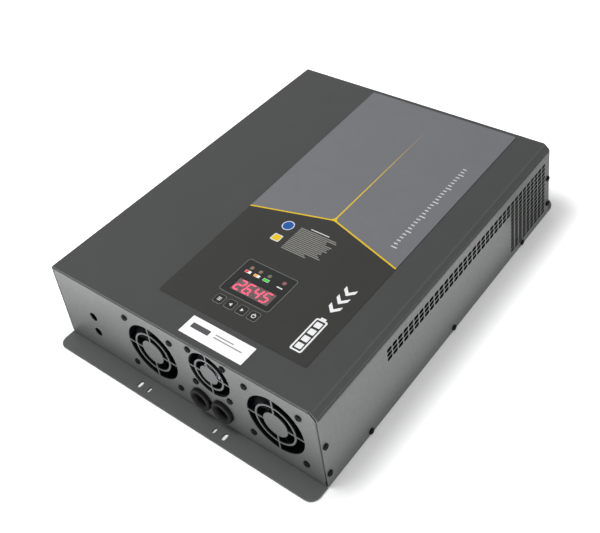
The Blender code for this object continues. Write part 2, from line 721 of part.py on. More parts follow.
def make_fan_frame(word, x, z, size, spacing):
    """A fan's square frame with its round duct, and struts to the motor at the back."""
    front, back = -FAN_FRONT, -FAN_BACK
    half = size / 2
    corners = rectangle((x - half, z - half), (x + half, z + half))
    outlines = [round_corners(corners, FAN_CORNER, 2), circle((x, z), 2 * duct_radius(size), BORE_FACETS)]
    outlines += fan_screw_holes(x, z, spacing, 6)
    frame = place(f"fan_frame_{word}", sheet_mesh(outlines, back, front, FACING_FRONT), black_plastic())
    reach, strut = half - FAN_WALL / 2, STRUT_WIDTH / 2
    across = rectangle((x - reach, z - strut), (x + reach, z + strut))
    upright = rectangle((x - strut, z - reach), (x + strut, z + reach))
    plate = circle((x, z), 2 * hub_radius(size), HUB_FACETS)
    for number, outline in enumerate((across, upright, plate)):
        tool = sheet_mesh([outline], back, back + MOTOR_PLATE, FACING_FRONT)
        boolean(frame, place_cutter(f"fan_motor_{word}_{number}", tool), "UNION")
    stator = [circle((x, z), 2 * (hub_radius(size) - HUB_WALL - 3 * GAP), HUB_FACETS)]
    stator_front = front - HUB_FRONT_GAP - HUB_WALL - 2 * GAP
    tool = sheet_mesh(stator, back + MOTOR_PLATE / 2, stator_front, FACING_FRONT)
    boolean(frame, place_cutter(f"fan_stator_{word}", tool), "UNION")
    bearing = [circle((x, z), SHAFT + 2 * GAP, HOLE_FACETS)]
    tool = sheet_mesh(bearing, stator_front - SHAFT_LENGTH - GAP, stator_front + GAP, FACING_FRONT)
    boolean(frame, place_cutter(f"fan_bearing_{word}", tool), "DIFFERENCE")


def blade_mesh(root, tip, number):
    """One blade: a twisted strip whose pitch falls from root to tip, drawn on a grid of radius and chord."""
    stations, chords = 2, 3
    points = []
    for i in range(stations):
        share = i / (stations - 1)
        radius = root + (tip - root) * share
        pitch = radians(BLADE_PITCH_ROOT + (BLADE_PITCH_TIP - BLADE_PITCH_ROOT) * share)
        lane = 2 * pi * (root + (tip - root) * (0.35 + 0.4 * share)) / FAN_BLADES
        chord = BLADE_SHARE * lane / cos(pitch) ** 0.5
        for j in range(chords):
            along = (j / (chords - 1) - 0.5) * chord
            camber = 0.07 * chord * (1 - (2 * along / chord) ** 2)
            angle = 2 * pi * number / FAN_BLADES + radians(BLADE_SWEEP) * share + along * cos(pitch) / radius
            height = along * sin(pitch) + camber * cos(pitch)
            points.append((radius * cos(angle), radius * sin(angle), height))
    faces = [(i * chords + j, i * chords + j + 1, (i + 1) * chords + j + 1, (i + 1) * chords + j)
             for i in range(stations - 1) for j in range(chords - 1)]
    mesh = bpy.data.meshes.new("blade")
    mesh.from_pydata(points, [], faces)
    return mesh


def make_fan_rotor(word, x, z, size):
    """A fan's rotor: a cup with its shaft, and the blades joined to it. Its origin is on the shaft's line."""
    hub = hub_radius(size)
    inside = hub - HUB_WALL
    shaft = SHAFT / 2
    end = HUB_LENGTH
    points = [(0.0, 0.0), (hub - HUB_WALL, 0.0), (hub, -HUB_WALL), (hub, -end), (inside, -end),
              (inside, -HUB_WALL), (shaft, -HUB_WALL), (shaft, -HUB_WALL - SHAFT_LENGTH),
              (0.0, -HUB_WALL - SHAFT_LENGTH)]
    rotor = place(f"fan_rotor_{word}", profile_mesh(points), black_plastic(), smooth=True)
    seat = Matrix.Translation((x, FAN_FRONT + HUB_FRONT_GAP, z)) @ Matrix.Rotation(pi / 2, 4, "X")
    turned(rotor, seat, HUB_FACETS)
    middle = Matrix.Translation((0, 0, -HUB_LENGTH / 2 - HUB_WALL / 2))
    for number in range(FAN_BLADES):
        mesh = blade_mesh(hub - HUB_WALL / 2, duct_radius(size) - BLADE_TIP_GAP, number)
        blade = place_cutter(f"fan_blade_{word}_{number}", mesh)
        solid = blade.modifiers.new("sheet", "SOLIDIFY")
        solid.thickness = BLADE_SHEET
        solid.offset = 0.0
        blade.matrix_world = seat @ middle
        boolean(rotor, blade, "UNION")


def make_fans():
    for word, x, z, size, spacing, _ in fan_places():
        make_fan_frame(word, x, z, size, spacing)
        make_fan_rotor(word, x, z, size)


def make_overlay():
    """The one-piece printed film that covers the display, the lamps and the keys."""
    corners = [(FILM_RIGHT, FILM_FRONT), (FILM_RIGHT, FILM_BACK),
               (FILM_RIGHT - FILM_WIDTH_BACK, FILM_BACK), (FILM_RIGHT - FILM_WIDTH_FRONT, FILM_FRONT)]
    mesh = sheet_mesh([round_corners(corners, FILM_CORNER, 3)], FILM_UNDERSIDE, FILM_UNDERSIDE + FILM)
    place("membrane_overlay", mesh, material("overlay_film", (0.06, 0.06, 0.058), 0.45))


def round_corners(corners, radius, facets):
    """Rounds each corner of an outline by an arc tangent to both of its edges."""
    points = []
    for k, corner in enumerate(corners):
        here = Vector(corner)
        before = (Vector(corners[k - 1]) - here).normalized()
        after = (Vector(corners[(k + 1) % len(corners)]) - here).normalized()
        half = before.angle(after) / 2
        centre = here + (before + after).normalized() * (radius / sin(half))
        first = here + before * (radius * cos(half) / sin(half)) - centre
        last = here + after * (radius * cos(half) / sin(half)) - centre
        for step in range(facets + 1):
            way = first.lerp(last, step / facets).normalized()
            points.append(tuple(centre + way * radius))
    return points


def make_display():
    """The display board on its spacers, with lamps, the digit block and the key switches."""
    half_x, half_y = DISPLAY_BOARD_WIDTH / 2, DISPLAY_BOARD_DEPTH / 2
    low = (WINDOW_X - half_x, WINDOW_Y - half_y, DISPLAY_BOARD_TOP - BOARD_SHEET)
    high = (WINDOW_X + half_x, WINDOW_Y + half_y, DISPLAY_BOARD_TOP)
    board = place("display_board", box_mesh(low, high), board_green())
    for number, x in enumerate(lamp_places()):
        lamp = sheet_mesh([circle((x, LAMP_ROW_Y), LAMP, HOLE_FACETS)], low[2] + BOARD_SHEET / 2, DISPLAY_TOP)
        boolean(board, place_cutter(f"lamp_{number}", lamp), "UNION")
    digit_size = (WINDOW_WIDTH - 4 * GAP, WINDOW_DEPTH - 4 * GAP, DISPLAY_HEIGHT)
    digits = seated_box(WINDOW_X, WINDOW_Y, DISPLAY_BOARD_TOP + GAP, digit_size)
    place("seven_segment_display", digits, material("display_red", (0.25, 0.02, 0.04), 0.3))
    for number, x in enumerate(key_places(), 1):
        make_key(number, x)
    far_x, far_y = half_x - SPACER_INSET, half_y - SPACER_INSET
    for number, (sx, sy) in enumerate(((-1, -1), (1, -1), (-1, 1), (1, 1)), 1):
        centre = (WINDOW_X + sx * far_x, WINDOW_Y + sy * far_y)
        rings = [circle(centre, SPACER, 10), circle(centre, SPACER_BORE, 6)]
        mesh = sheet_mesh(rings, DISPLAY_BOARD_TOP + GAP, COVER_UNDERSIDE - GAP)
        place(f"display_spacer_{number}", mesh, material("nylon", (0.6, 0.6, 0.58), 0.5))


def make_key(number, x):
    """A key's switch: a square body with a bore, and the plunger that travels in it."""
    seat = DISPLAY_BOARD_TOP + GAP
    size = (SWITCH_SIZE, SWITCH_SIZE, SWITCH_HEIGHT)
    body = place(f"switch_body_{number}", seated_box(x, KEY_Y, seat, size), black_plastic())
    bore = [circle((x, KEY_Y), PLUNGER + 2 * GAP, HOLE_FACETS)]
    tool = sheet_mesh(bore, seat + SWITCH_FLOOR, seat + SWITCH_HEIGHT + GAP)
    boolean(body, place_cutter(f"switch_bore_{number}", tool), "DIFFERENCE")
    bottom = seat + SWITCH_FLOOR + KEY_TRAVEL + GAP
    mesh = sheet_mesh([circle((0, 0), PLUNGER, HOLE_FACETS)], 0.0, KEY_TOP - bottom)
    plunger = place(f"key_plunger_{number}", mesh, material("key_plunger", (0.5, 0.5, 0.48), 0.5))
    plunger.location = (x, KEY_Y, bottom)


def make_power_board():
    """The power board on four standoffs."""
    size = (2 * POWER_BOARD_HALF_WIDTH, 2 * POWER_BOARD_HALF_DEPTH, POWER_BOARD_SHEET)
    place("power_board", seated_box(0.0, 0.0, POWER_BOARD_BOTTOM, size), board_green())
    x, y = POWER_BOARD_HALF_WIDTH - STANDOFF_INSET, POWER_BOARD_HALF_DEPTH - STANDOFF_INSET
    for number, (sx, sy) in enumerate(((-1, -1), (1, -1), (-1, 1), (1, 1)), 1):
        post = [circle((sx * x, sy * y), STANDOFF, 6)]
        mesh = sheet_mesh(post, BASE_SHEET + GAP, POWER_BOARD_BOTTOM - GAP)
        place(f"board_standoff_{number}", mesh, material("brass", (0.6, 0.45, 0.2), 0.35, 1.0))


def across_board(share):
    """A place across the power board, as a share of its width from the left edge."""
    return (2 * share - 1) * POWER_BOARD_HALF_WIDTH


def along_board(share):
    """A place along the power board, as a share of its depth from the front edge."""
    return (2 * share - 1) * POWER_BOARD_HALF_DEPTH


def heatsink_outline(x):
    """A comb in X and Z: a thick base with fins standing on it."""
    left = x - HEATSINK_WIDTH / 2
    pitch = (HEATSINK_WIDTH - HEATSINK_FIN) / (HEATSINK_FINS - 1)
    base, top = BOARD_SEAT + HEATSINK_BASE, BOARD_SEAT + HEATSINK_HEIGHT
    points = [(left, BOARD_SEAT), (left + HEATSINK_WIDTH, BOARD_SEAT)]
    comb = []
    for k in reversed(range(HEATSINK_FINS)):
        start = left + k * pitch
        comb += [(start + HEATSINK_FIN, base), (start + HEATSINK_FIN, top), (start, top), (start, base)]
    return points + comb[1:-1]


def make_heatsinks():
    for word, x in (("left", LEFT_FAN_X), ("right", RIGHT_FAN_X)):
        mesh = sheet_mesh([heatsink_outline(x)], -HEATSINK_BACK, -HEATSINK_FRONT, FACING_FRONT)
        place(f"heatsink_{word}", mesh, material("aluminium", (0.7, 0.7, 0.7), 0.35, 1.0))


def make_transformer():
    """A ferrite core with two windows, and the winding round its middle leg."""
    x, y, low = CENTRE_FAN_X, along_board(CORE_ALONG), BOARD_SEAT
    half, leg = CORE_WIDTH / 2, CORE_LEG / 2
    window_low, window_high = low + CORE_YOKE, low + CORE_HEIGHT - CORE_YOKE
    window_end = half - leg / 2 - GAP
    outlines = [rectangle((x - half, low), (x + half, low + CORE_HEIGHT))]
    outlines.append(rectangle((x + leg, window_low), (x + window_end, window_high)))
    outlines.append(rectangle((x - window_end, window_low), (x - leg, window_high)))
    mesh = sheet_mesh(outlines, -y - CORE_DEPTH / 2, -y + CORE_DEPTH / 2, FACING_FRONT)
    place("transformer_core", mesh, material("ferrite", (0.05, 0.05, 0.055), 0.6))
    band = window_end - leg - 2 * GAP
    eye_x, eye_y = leg + GAP, CORE_DEPTH / 2 + GAP
    ring = [(x + sx * (eye_x + grow), y + sy * (eye_y + grow)) for grow in (band, 0.0)
            for sx, sy in ((-1, -1), (1, -1), (1, 1), (-1, 1))]
    outer = round_corners(ring[:4], band * 0.6, 3)
    mesh = sheet_mesh([outer, ring[4:]], window_low + GAP, window_high - GAP)
    place("transformer_winding", mesh, material("copper_winding", (0.55, 0.25, 0.1), 0.4, 0.6))


def make_choke():
    """A toroid choke lying on the board, behind the right heatsink."""
    bevel = CHOKE_HEIGHT / 5
    low, high = 0.0, CHOKE_HEIGHT
    inner, outer = CHOKE_EYE / 2, CHOKE / 2
    points = [(inner, high - bevel), (inner + bevel, high), (outer - bevel, high), (outer, high - bevel),
              (outer, low + bevel), (outer - bevel, low), (inner + bevel, low), (inner, low + bevel)]
    winding = material("choke_winding", (0.5, 0.25, 0.1), 0.4, 0.5)
    choke = place("output_choke", ring_profile_mesh(points), winding, smooth=True)
    seat = Matrix.Translation((RIGHT_FAN_X, along_board(CHOKE_ALONG), BOARD_SEAT))
    turned(choke, seat, CAN_FACETS)


def make_capacitors():
    """Three tall capacitors in a row."""
    radius = CAPACITOR / 2
    points = [(0.0, CAPACITOR_HEIGHT), (radius - CAPACITOR_BEVEL, CAPACITOR_HEIGHT),
              (radius, CAPACITOR_HEIGHT - CAPACITOR_BEVEL), (radius, 0.0), (0.0, 0.0)]
    sleeve = material("capacitor_sleeve", (0.03, 0.04, 0.1), 0.4)
    for k in range(3):
        can = place(f"bulk_capacitor_{k + 1}", profile_mesh(points), sleeve, smooth=True)
        x = -POWER_BOARD_HALF_WIDTH + CAPACITOR_FIRST_GAP + k * CAPACITOR_PITCH
        turned(can, Matrix.Translation((x, along_board(CAPACITOR_ALONG), BOARD_SEAT)), CAN_FACETS)


def make_board_boxes():
    """The boxed parts: relay, fuse holder, line filter and the two terminal blocks behind the grommets."""
    can = material("filter_can", (0.6, 0.6, 0.6), 0.4, 0.8)
    boxes = (("output_relay", RELAY_PLACE, RELAY_SIZE, black_plastic()),
             ("fuse_holder", FUSE_PLACE, FUSE_SIZE, black_plastic()),
             ("line_filter", FILTER_PLACE, FILTER_SIZE, can))
    for name, (across, along), size, finish in boxes:
        place(name, seated_box(across_board(across), along_board(along), BOARD_SEAT, size), finish)
    for word, x in zip(("mains", "battery"), grommet_places()):
        block = place(f"terminal_block_{word}", seated_box(x, TERMINAL_Y, BOARD_SEAT, TERMINAL_SIZE),
                      material("terminal_grey", (0.3, 0.32, 0.33), 0.5))
        width, height = TERMINAL_SLOT
        middle = BOARD_SEAT + TERMINAL_SIZE[2] / 2
        entry = []
        for centre in (x - TERMINAL_SIZE[0] / 4, x + TERMINAL_SIZE[0] / 4):
            entry.append(rectangle((centre - width / 2, middle - height / 2),
                                   (centre + width / 2, middle + height / 2)))
        mouth = -TERMINAL_Y + TERMINAL_SIZE[1] / 2
        tool = sheet_mesh(entry, mouth - TERMINAL_SIZE[1] * 0.6, mouth + GAP, FACING_FRONT)
        boolean(block, place_cutter(f"terminal_entry_{word}", tool), "DIFFERENCE")


clear_scene()
parts = make_collection("forklift_battery_charger")
cutters = make_collection("cutters")
make_base_plate()
make_front_panel()
make_pan("rear_panel", 1)
make_cover()
make_screws()
make_grommets()
make_fans()
make_overlay()
make_display()
make_power_board()
make_heatsinks()
make_transformer()
make_choke()
make_capacitors()
make_board_boxes()
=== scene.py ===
"""Looks of the forklift battery charger: fine sheets, fans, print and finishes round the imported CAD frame.

All sizes in this file are in millimetres, in the CAD model's own frame, and become metres when a mesh is made.
"""

import logging
import math
from dataclasses import dataclass, field
from enum import Enum
from typing import Callable, Optional

import bpy
import numpy as np
from mathutils import Matrix, Vector
from mathutils.geometry import delaunay_2d_cdt

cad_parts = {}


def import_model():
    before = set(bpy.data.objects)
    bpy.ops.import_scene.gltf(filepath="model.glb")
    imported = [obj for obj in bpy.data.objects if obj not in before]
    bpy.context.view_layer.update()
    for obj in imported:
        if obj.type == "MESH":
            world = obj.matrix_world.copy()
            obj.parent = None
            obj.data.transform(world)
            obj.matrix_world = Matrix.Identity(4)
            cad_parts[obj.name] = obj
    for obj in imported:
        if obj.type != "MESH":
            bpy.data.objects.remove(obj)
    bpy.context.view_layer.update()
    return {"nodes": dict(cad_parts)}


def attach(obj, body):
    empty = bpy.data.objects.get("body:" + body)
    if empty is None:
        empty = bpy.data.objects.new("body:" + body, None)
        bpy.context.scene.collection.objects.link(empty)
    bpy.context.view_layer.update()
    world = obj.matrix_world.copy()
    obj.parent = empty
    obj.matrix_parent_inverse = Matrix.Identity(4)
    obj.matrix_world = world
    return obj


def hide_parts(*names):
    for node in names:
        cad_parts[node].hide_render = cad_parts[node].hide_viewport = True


MM = 0.001
IMAGE_WIDTH = 600
IMAGE_HEIGHT = 533
SENSOR = 36.0
SAME_POINT = 1e-6
OPENING_CORNER = 0.45
TEST_GROUP = 800
UNBENT = 1e5
BOTH_SIDES = ((-1, -1), (-1, 1), (1, -1), (1, 1))

Array = np.ndarray
Colour = tuple[float, float, float]
log = logging.getLogger("charger")


# ---------------------------------------------------------------- outlines


def srgb(red: float, green: float, blue: float) -> Colour:
    """Linear colour of an 8-bit screen colour.

    Args:
        red: red of 0 to 255.
        green: green of 0 to 255.
        blue: blue of 0 to 255.

    Returns:
        The three linear shares.
    """
    shares = np.array((red, green, blue)) / 255.0
    linear = np.where(shares <= 0.04045, shares / 12.92, ((shares + 0.055) / 1.055) ** 2.4)
    return tuple(float(x) for x in linear)


def circle(x: float, y: float, radius: float, count: int = 48) -> Array:
    """Round outline, counter-clockwise."""
    turn = np.arange(count) * 2 * math.pi / count
    return np.column_stack((x + radius * np.cos(turn), y + radius * np.sin(turn)))


def signed_area(loop: Array) -> float:
    """Area of an outline, positive when it runs counter-clockwise."""
    following = np.roll(loop, -1, axis=0)
    return float((loop[:, 0] * following[:, 1] - loop[:, 1] * following[:, 0]).sum() / 2)


def distinct(points: Array) -> Array:
    """Outline without the points that lie on the one before them."""
    return points[np.linalg.norm(points - np.roll(points, 1, axis=0), axis=1) > SAME_POINT]


def edge_directions(corners: Array) -> tuple[Array, Array]:
    """Directions from each corner of a polygon to its two neighbours.

    Args:
        corners: the polygon's corners in order.

    Returns:
        Unit directions to the corner before, and to the one after.
    """
    found = [np.roll(corners, shift, axis=0) - corners for shift in (1, -1)]
    before, after = (edge / np.linalg.norm(edge, axis=1, keepdims=True) for edge in found)
    return before, after


def curve_between(start: Array, pull: Array, end: Array, t: Array) -> Array:
    """Points of the curve (1 - t)^2 start + 2 t (1 - t) pull + t^2 end."""
    return (1 - t) ** 2 * start + 2 * t * (1 - t) * pull + t**2 * end


def rounded(points: list | Array, radius: float | list | Array, steps: int = 5) -> Array:
    """Polygon with its corners rounded.

    Each corner becomes a curve of `steps` pieces that starts and ends one setback before and after it:
    (1 - t)^2 start + 2 t (1 - t) corner + t^2 end.

    Args:
        points: corners in order.
        radius: setback of the curve from each corner, one number or one for each corner.
        steps: pieces in each curve.

    Returns:
        The outline's points.
    """
    corners = np.asarray(points, float)
    setback = np.broadcast_to(np.asarray(radius, float), (len(corners),))[:, None]
    before, after = edge_directions(corners)
    start = (corners + before * setback)[:, None, :]
    end = (corners + after * setback)[:, None, :]
    t = np.linspace(0, 1, steps + 1)[None, :, None]
    return distinct(curve_between(start, corners[:, None, :], end, t).reshape(-1, 2))


def arced(points: list, radius: list, steps: int) -> Array:
    """Polygon whose right-angled corners become arcs.

    At a right angle the arc's centre lies one radius along both edges: it is the corner plus R times the
    directions to both neighbours, and the arc runs from one tangent point to the other.

    Args:
        points: corners in order.
        radius: arc radius of each corner, 0 for a sharp one.
        steps: pieces in each arc.

    Returns:
        The outline's points.
    """
    corners = np.asarray(points, float)
    size = np.asarray(radius, float)[:, None]
    before, after = edge_directions(corners)
    centre = (corners + (before + after) * size)[:, None, :]
    turn = np.linspace(0, math.pi / 2, steps + 1)[None, :, None]
    reach = -(after * size)[:, None, :] * np.cos(turn) - (before * size)[:, None, :] * np.sin(turn)
    return distinct((centre + reach).reshape(-1, 2))


def block(x: float, y: float, width: float, depth: float, radius: float = 0.0, steps: int = 5) -> Array:
    """Rectangle about a centre, counter-clockwise, with true round corners where radius is given.

    Args:
        x: the centre's first coordinate.
        y: the centre's second coordinate.
        width: size along the first axis.
        depth: size along the second axis.
        radius: radius of the corners, 0 for sharp ones.
        steps: pieces in each corner.

    Returns:
        The outline's points.
    """
    half = np.array((width / 2, depth / 2))
    signs = np.array(((1, -1), (1, 1), (-1, 1), (-1, -1)))
    centre = np.array((x, y))
    if radius <= 0:
        return centre + signs * half
    turn = np.linspace(0, math.pi / 2, steps + 1)
    quarter = radius * np.stack((np.cos(turn), np.sin(turn)), axis=1)
    lead = np.arange(4) * math.pi / 2 - math.pi / 2
    cos, sin = np.cos(lead)[:, None], np.sin(lead)[:, None]
    across, up = quarter[:, 0], quarter[:, 1]
    arcs = np.stack((across * cos - up * sin, across * sin + up * cos), axis=2)
    return distinct((centre + (signs * (half - radius))[:, None, :] + arcs).reshape(-1, 2))


def bar(start: tuple, end: tuple, width: float, end_width: Optional[float] = None) -> Array:
    """Straight strip between two points, of one width or tapering to another.

    Args:
        start: middle of the first end.
        end: middle of the last end.
        width: width at the first end.
        end_width: width at the last end, the same if not given.

    Returns:
        The strip's four corners.
    """
    a, b = np.array(start, float), np.array(end, float)
    along = (b - a) / np.linalg.norm(b - a)
    side = np.array((along[1], -along[0]))
    last = width if end_width is None else end_width
    return np.array((a + side * width / 2, b + side * last / 2, b - side * last / 2, a - side * width / 2))


def quarters(inner: float, outer: float, spoke: float, steps: int = 20) -> list[Array]:
    """Four openings of a ring, between two radii and between spokes of even width on the two axes.

    Args:
        inner: radius of the openings' inner edge.
        outer: radius of their outer edge.
        spoke: width of the spokes.
        steps: points along each edge.

    Returns:
        The outlines of the four openings.
    """
    clear_out, clear_in = math.asin(spoke / 2 / outer), math.asin(spoke / 2 / inner)
    turn_out = np.linspace(clear_out, math.pi / 2 - clear_out, steps)
    turn_in = np.linspace(math.pi / 2 - clear_in, clear_in, steps)
    arc_out = outer * np.stack((np.cos(turn_out), np.sin(turn_out)), axis=1)
    arc_in = inner * np.stack((np.cos(turn_in), np.sin(turn_in)), axis=1)
    setback = np.zeros(2 * steps)
    setback[[0, steps - 1, steps, 2 * steps - 1]] = OPENING_CORNER
    first = rounded(np.concatenate((arc_out, arc_in)), setback, 3)
    turns = (((1, 0), (0, 1)), ((0, -1), (1, 0)), ((-1, 0), (0, -1)), ((0, 1), (-1, 0)))
    return [first @ np.array(turn).T for turn in turns]


def offset(loop: Array, distance: float) -> Array:
    """Counter-clockwise outline moved outwards, each corner along its mitre.

    Args:
        loop: the outline.
        distance: how far out it moves.

    Returns:
        The moved outline.
    """
    edge = np.roll(loop, -1, axis=0) - loop
    edge /= np.linalg.norm(edge, axis=1, keepdims=True)
    after = np.column_stack((edge[:, 1], -edge[:, 0]))
    before = np.roll(after, 1, axis=0)
    share = 1 + (after * before).sum(axis=1, keepdims=True)
    return loop + distance * (after + before) / np.maximum(share, 0.35)


def split(loop: Array, axis: int, values: Array) -> Array:
    """Outline with a point added wherever it crosses one of the lines u = value or v = value.

    Args:
        loop: the outline.
        axis: 0 for lines across u, 1 for lines across v.
        values: the lines' places.

    Returns:
        The outline with the added points.
    """
    for value in values:
        gap = loop[:, axis] - value
        following = np.roll(gap, -1)
        at = np.nonzero(gap * following < -1e-12)[0]
        share = (gap[at] / (gap[at] - following[at]))[:, None]
        new = loop[at] + share * (np.roll(loop, -1, axis=0)[at] - loop[at])
        loop = np.insert(loop, at + 1, new, axis=0)
    return loop


def inside(points: Array, loops: list[Array]) -> Array:
    """Whether each point lies inside an odd number of the outlines, by counting crossings to its right.

    Args:
        points: the points to test.
        loops: the outlines.

    Returns:
        True or false for each point.
    """
    starts = np.concatenate(loops)
    ends = np.concatenate([np.roll(loop, -1, axis=0) for loop in loops])
    rise = ends[:, 1] - starts[:, 1]
    slope = (ends[:, 0] - starts[:, 0]) / np.where(rise == 0, 1, rise)
    result = np.zeros(len(points), bool)
    for first in range(0, len(points), TEST_GROUP):
        group = slice(first, first + TEST_GROUP)
        x, y = points[group, 0][:, None], points[group, 1][:, None]
        spans = (starts[:, 1] > y) != (ends[:, 1] > y)
        crossing = x < starts[:, 0] + (y - starts[:, 1]) * slope
        result[group] = (spans & crossing).sum(axis=1) % 2 == 1
    return result


# ---------------------------------------------------------------- meshes


@dataclass
class Shape:
    """Mesh data of one piece: points, faces, and what the finish reads from them."""

    points: Array
    faces: list
    normals: Optional[Array] = None
    # rims: rings that the finish pales, partly wear, partly painted highlight; cuts: hole walls that it darkens as
    # painted shade.
    rims: Optional[Array] = None
    cuts: Optional[Array] = None
    slots: Optional[Array] = None
    paints: Optional[Array] = None

    @staticmethod
    def joined(shapes: list["Shape"]) -> "Shape":
        """One shape of several closed shells.

        Args:
            shapes: the shells.

        Returns:
            The joined shape, which keeps given normals only where every shell has them.
        """
        faces: list = []
        slots: list = []
        start = 0
        for number, shape in enumerate(shapes):
            faces += [tuple(index + start for index in face) for face in shape.faces]
            slots.append(np.zeros(len(shape.faces), int) if shape.slots is None else shape.slots)
            start += len(shape.points)
        given = all(shape.normals is not None for shape in shapes)
        normals = np.concatenate([shape.normals for shape in shapes]) if given else None
        points = np.concatenate([shape.points for shape in shapes])
        return Shape(points, faces, normals, slots=np.concatenate(slots))

    def piece(self, name: str, body: str, slot: str, materials: list, replaces: tuple = ()) -> bpy.types.Object:
        """Makes the Blender object, dresses it, and hangs it on a CAD body.

        Args:
            name: the piece's name.
            body: the CAD body that it moves with.
            slot: the record's material slot for its finish; not used.
            materials: finishes in slot order.
            replaces: CAD nodes that it stands for.

        Returns:
            The new object.
        """
        mesh = bpy.data.meshes.new(name)
        mesh.from_pydata((self.points * MM).tolist(), [], [tuple(face) for face in self.faces])
        count = len(mesh.polygons)
        mesh.polygons.foreach_set("use_smooth", np.ones(count, bool))
        if self.slots is not None:
            mesh.polygons.foreach_set("material_index", np.asarray(self.slots, np.int32))
        # rim and cut feed the finish's paler rims (wear and painted highlight) and its painted shade on hole walls.
        for label, values in (("rim", self.rims), ("cut", self.cuts)):
            if values is not None:
                held = mesh.attributes.new(label, "FLOAT", "POINT")
                held.data.foreach_set("value", values.astype(np.float32))
        if self.paints is not None:
            corners = np.zeros(count, np.int32)
            mesh.polygons.foreach_get("loop_total", corners)
            paint = mesh.attributes.new("print", "FLOAT_COLOR", "CORNER")
            rows = np.column_stack((self.paints, np.ones(count)))
            paint.data.foreach_set("color", np.repeat(rows, corners, axis=0).astype(np.float32).ravel())
        mesh.update()
        if self.normals is not None:
            mesh.normals_split_custom_set_from_vertices(self.normals.tolist())
        for material in materials:
            mesh.materials.append(material)
        piece = bpy.data.objects.new(name, mesh)
        bpy.context.scene.collection.objects.link(piece)
        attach(piece, body)
        if replaces:
            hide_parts(*replaces)
        log.info("%s: %d points, %d faces, on %s", name, len(self.points), count, body)
        return piece


@dataclass(frozen=True)
class Place:
    """Local axes in the part's frame: the third is the first crossed with the second."""

    origin: tuple = (0.0, 0.0, 0.0)
    first: tuple = (1, 0, 0)
    second: tuple = (0, 1, 0)

    def axes(self) -> Array:
        """Rows of the three axes."""
        first, second = np.array(self.first, float), np.array(self.second, float)
        return np.stack((first, second, np.cross(first, second)))

    def points(self, local: Array) -> Array:
        """Local points in the part's frame."""
        return np.asarray(self.origin) + local @ self.axes()

    def directions(self, local: Array) -> Array:
        """Local directions in the part's frame."""
        return local @ self.axes()


def facing_front(x: float, y: float, z: float) -> Place:
    """Place whose third axis points to the front, with x to the right and z up."""
    return Place((x, y, z), (1, 0, 0), (0, 0, 1))


@dataclass(frozen=True)
class Bend:
    """Folds at the two ends of a flat, each in two eighth turns with a slanted strip between or none."""

    low: float = -2 * UNBENT
    high: float = 2 * UNBENT
    low_radius: float = 1.0
    high_radius: float = 1.0
    high_strip: float = 0.0
    steps: int = 4

    def lines(self) -> Array:
        """Rows of points that the folded sheet needs.

        Returns:
            Their places along the pattern.
        """
        shares = np.linspace(0, math.pi / 4, self.steps + 1)
        found = []
        ends = ((self.high, 1, self.high_radius, self.high_strip), (self.low, -1, self.low_radius, 0))
        for end, sign, radius, strip in ends:
            if abs(end) < UNBENT:
                second = math.pi / 4 * radius + strip
                rows = np.concatenate((shares[:-1] * radius, [second] if strip else [], second + shares * radius))
                if strip:
                    rows = np.append(rows, math.pi / 4 * radius)
                found.append(end + sign * np.unique(np.round(rows, 7)))
        return np.concatenate(found) if found else np.zeros(0)

    def carry(self, s: Array) -> tuple[Array, Array, Array]:
        """Place along the flat, drop below it and turn of the sheet for pattern places s.

        Past the flat's end by t, the first arc turns by a = t / R up to an eighth turn, the strip runs on at
        that slant, the second arc turns by b up to another eighth, and what is left of t goes straight down.
        So the sheet runs R sin a + strip cos 45 + R (sin(45 + b) - sin 45) along, and as much down by cosines.

        Args:
            s: places along the pattern.

        Returns:
            Place along the flat, drop below it, and turn of the sheet, for each.
        """
        along, drop, turn = np.clip(s, self.low, self.high), np.zeros_like(s), np.zeros_like(s)
        half = math.sqrt(0.5)
        ends = ((s - self.high, self.high_radius, self.high_strip, 1), (self.low - s, self.low_radius, 0.0, -1))
        for past, radius, strip, sign in ends:
            past = np.maximum(past, 0)
            arc = radius * math.pi / 4
            first = np.minimum(past, arc) / radius
            slant = np.clip(past - arc, 0, strip)
            second = np.clip(past - arc - strip, 0, arc) / radius
            rest = np.maximum(past - 2 * arc - strip, 0)
            beyond = np.sin(math.pi / 4 + second) - half, half - np.cos(math.pi / 4 + second)
            along = along + sign * (radius * (np.sin(first) + beyond[0]) + slant * half)
            drop = drop + radius * (1 - np.cos(first) + beyond[1]) + slant * half + rest
            turn = turn + sign * (first + second)
        return along, drop, turn


@dataclass
class Mark:
    """A printed or inlaid area of a sheet: its outline, its colour and its finish."""

    loop: Array
    colour: Colour = (0.0, 0.0, 0.0)
    slot: int = 0


def tile(colour: Colour, *sizes: float) -> Mark:
    """Printed rectangle, of the sizes that `block` takes."""
    return Mark(block(*sizes), colour)


def spot(colour: Colour, *sizes: float) -> Mark:
    """Printed disc, of the sizes that `circle` takes."""
    return Mark(circle(*sizes), colour)


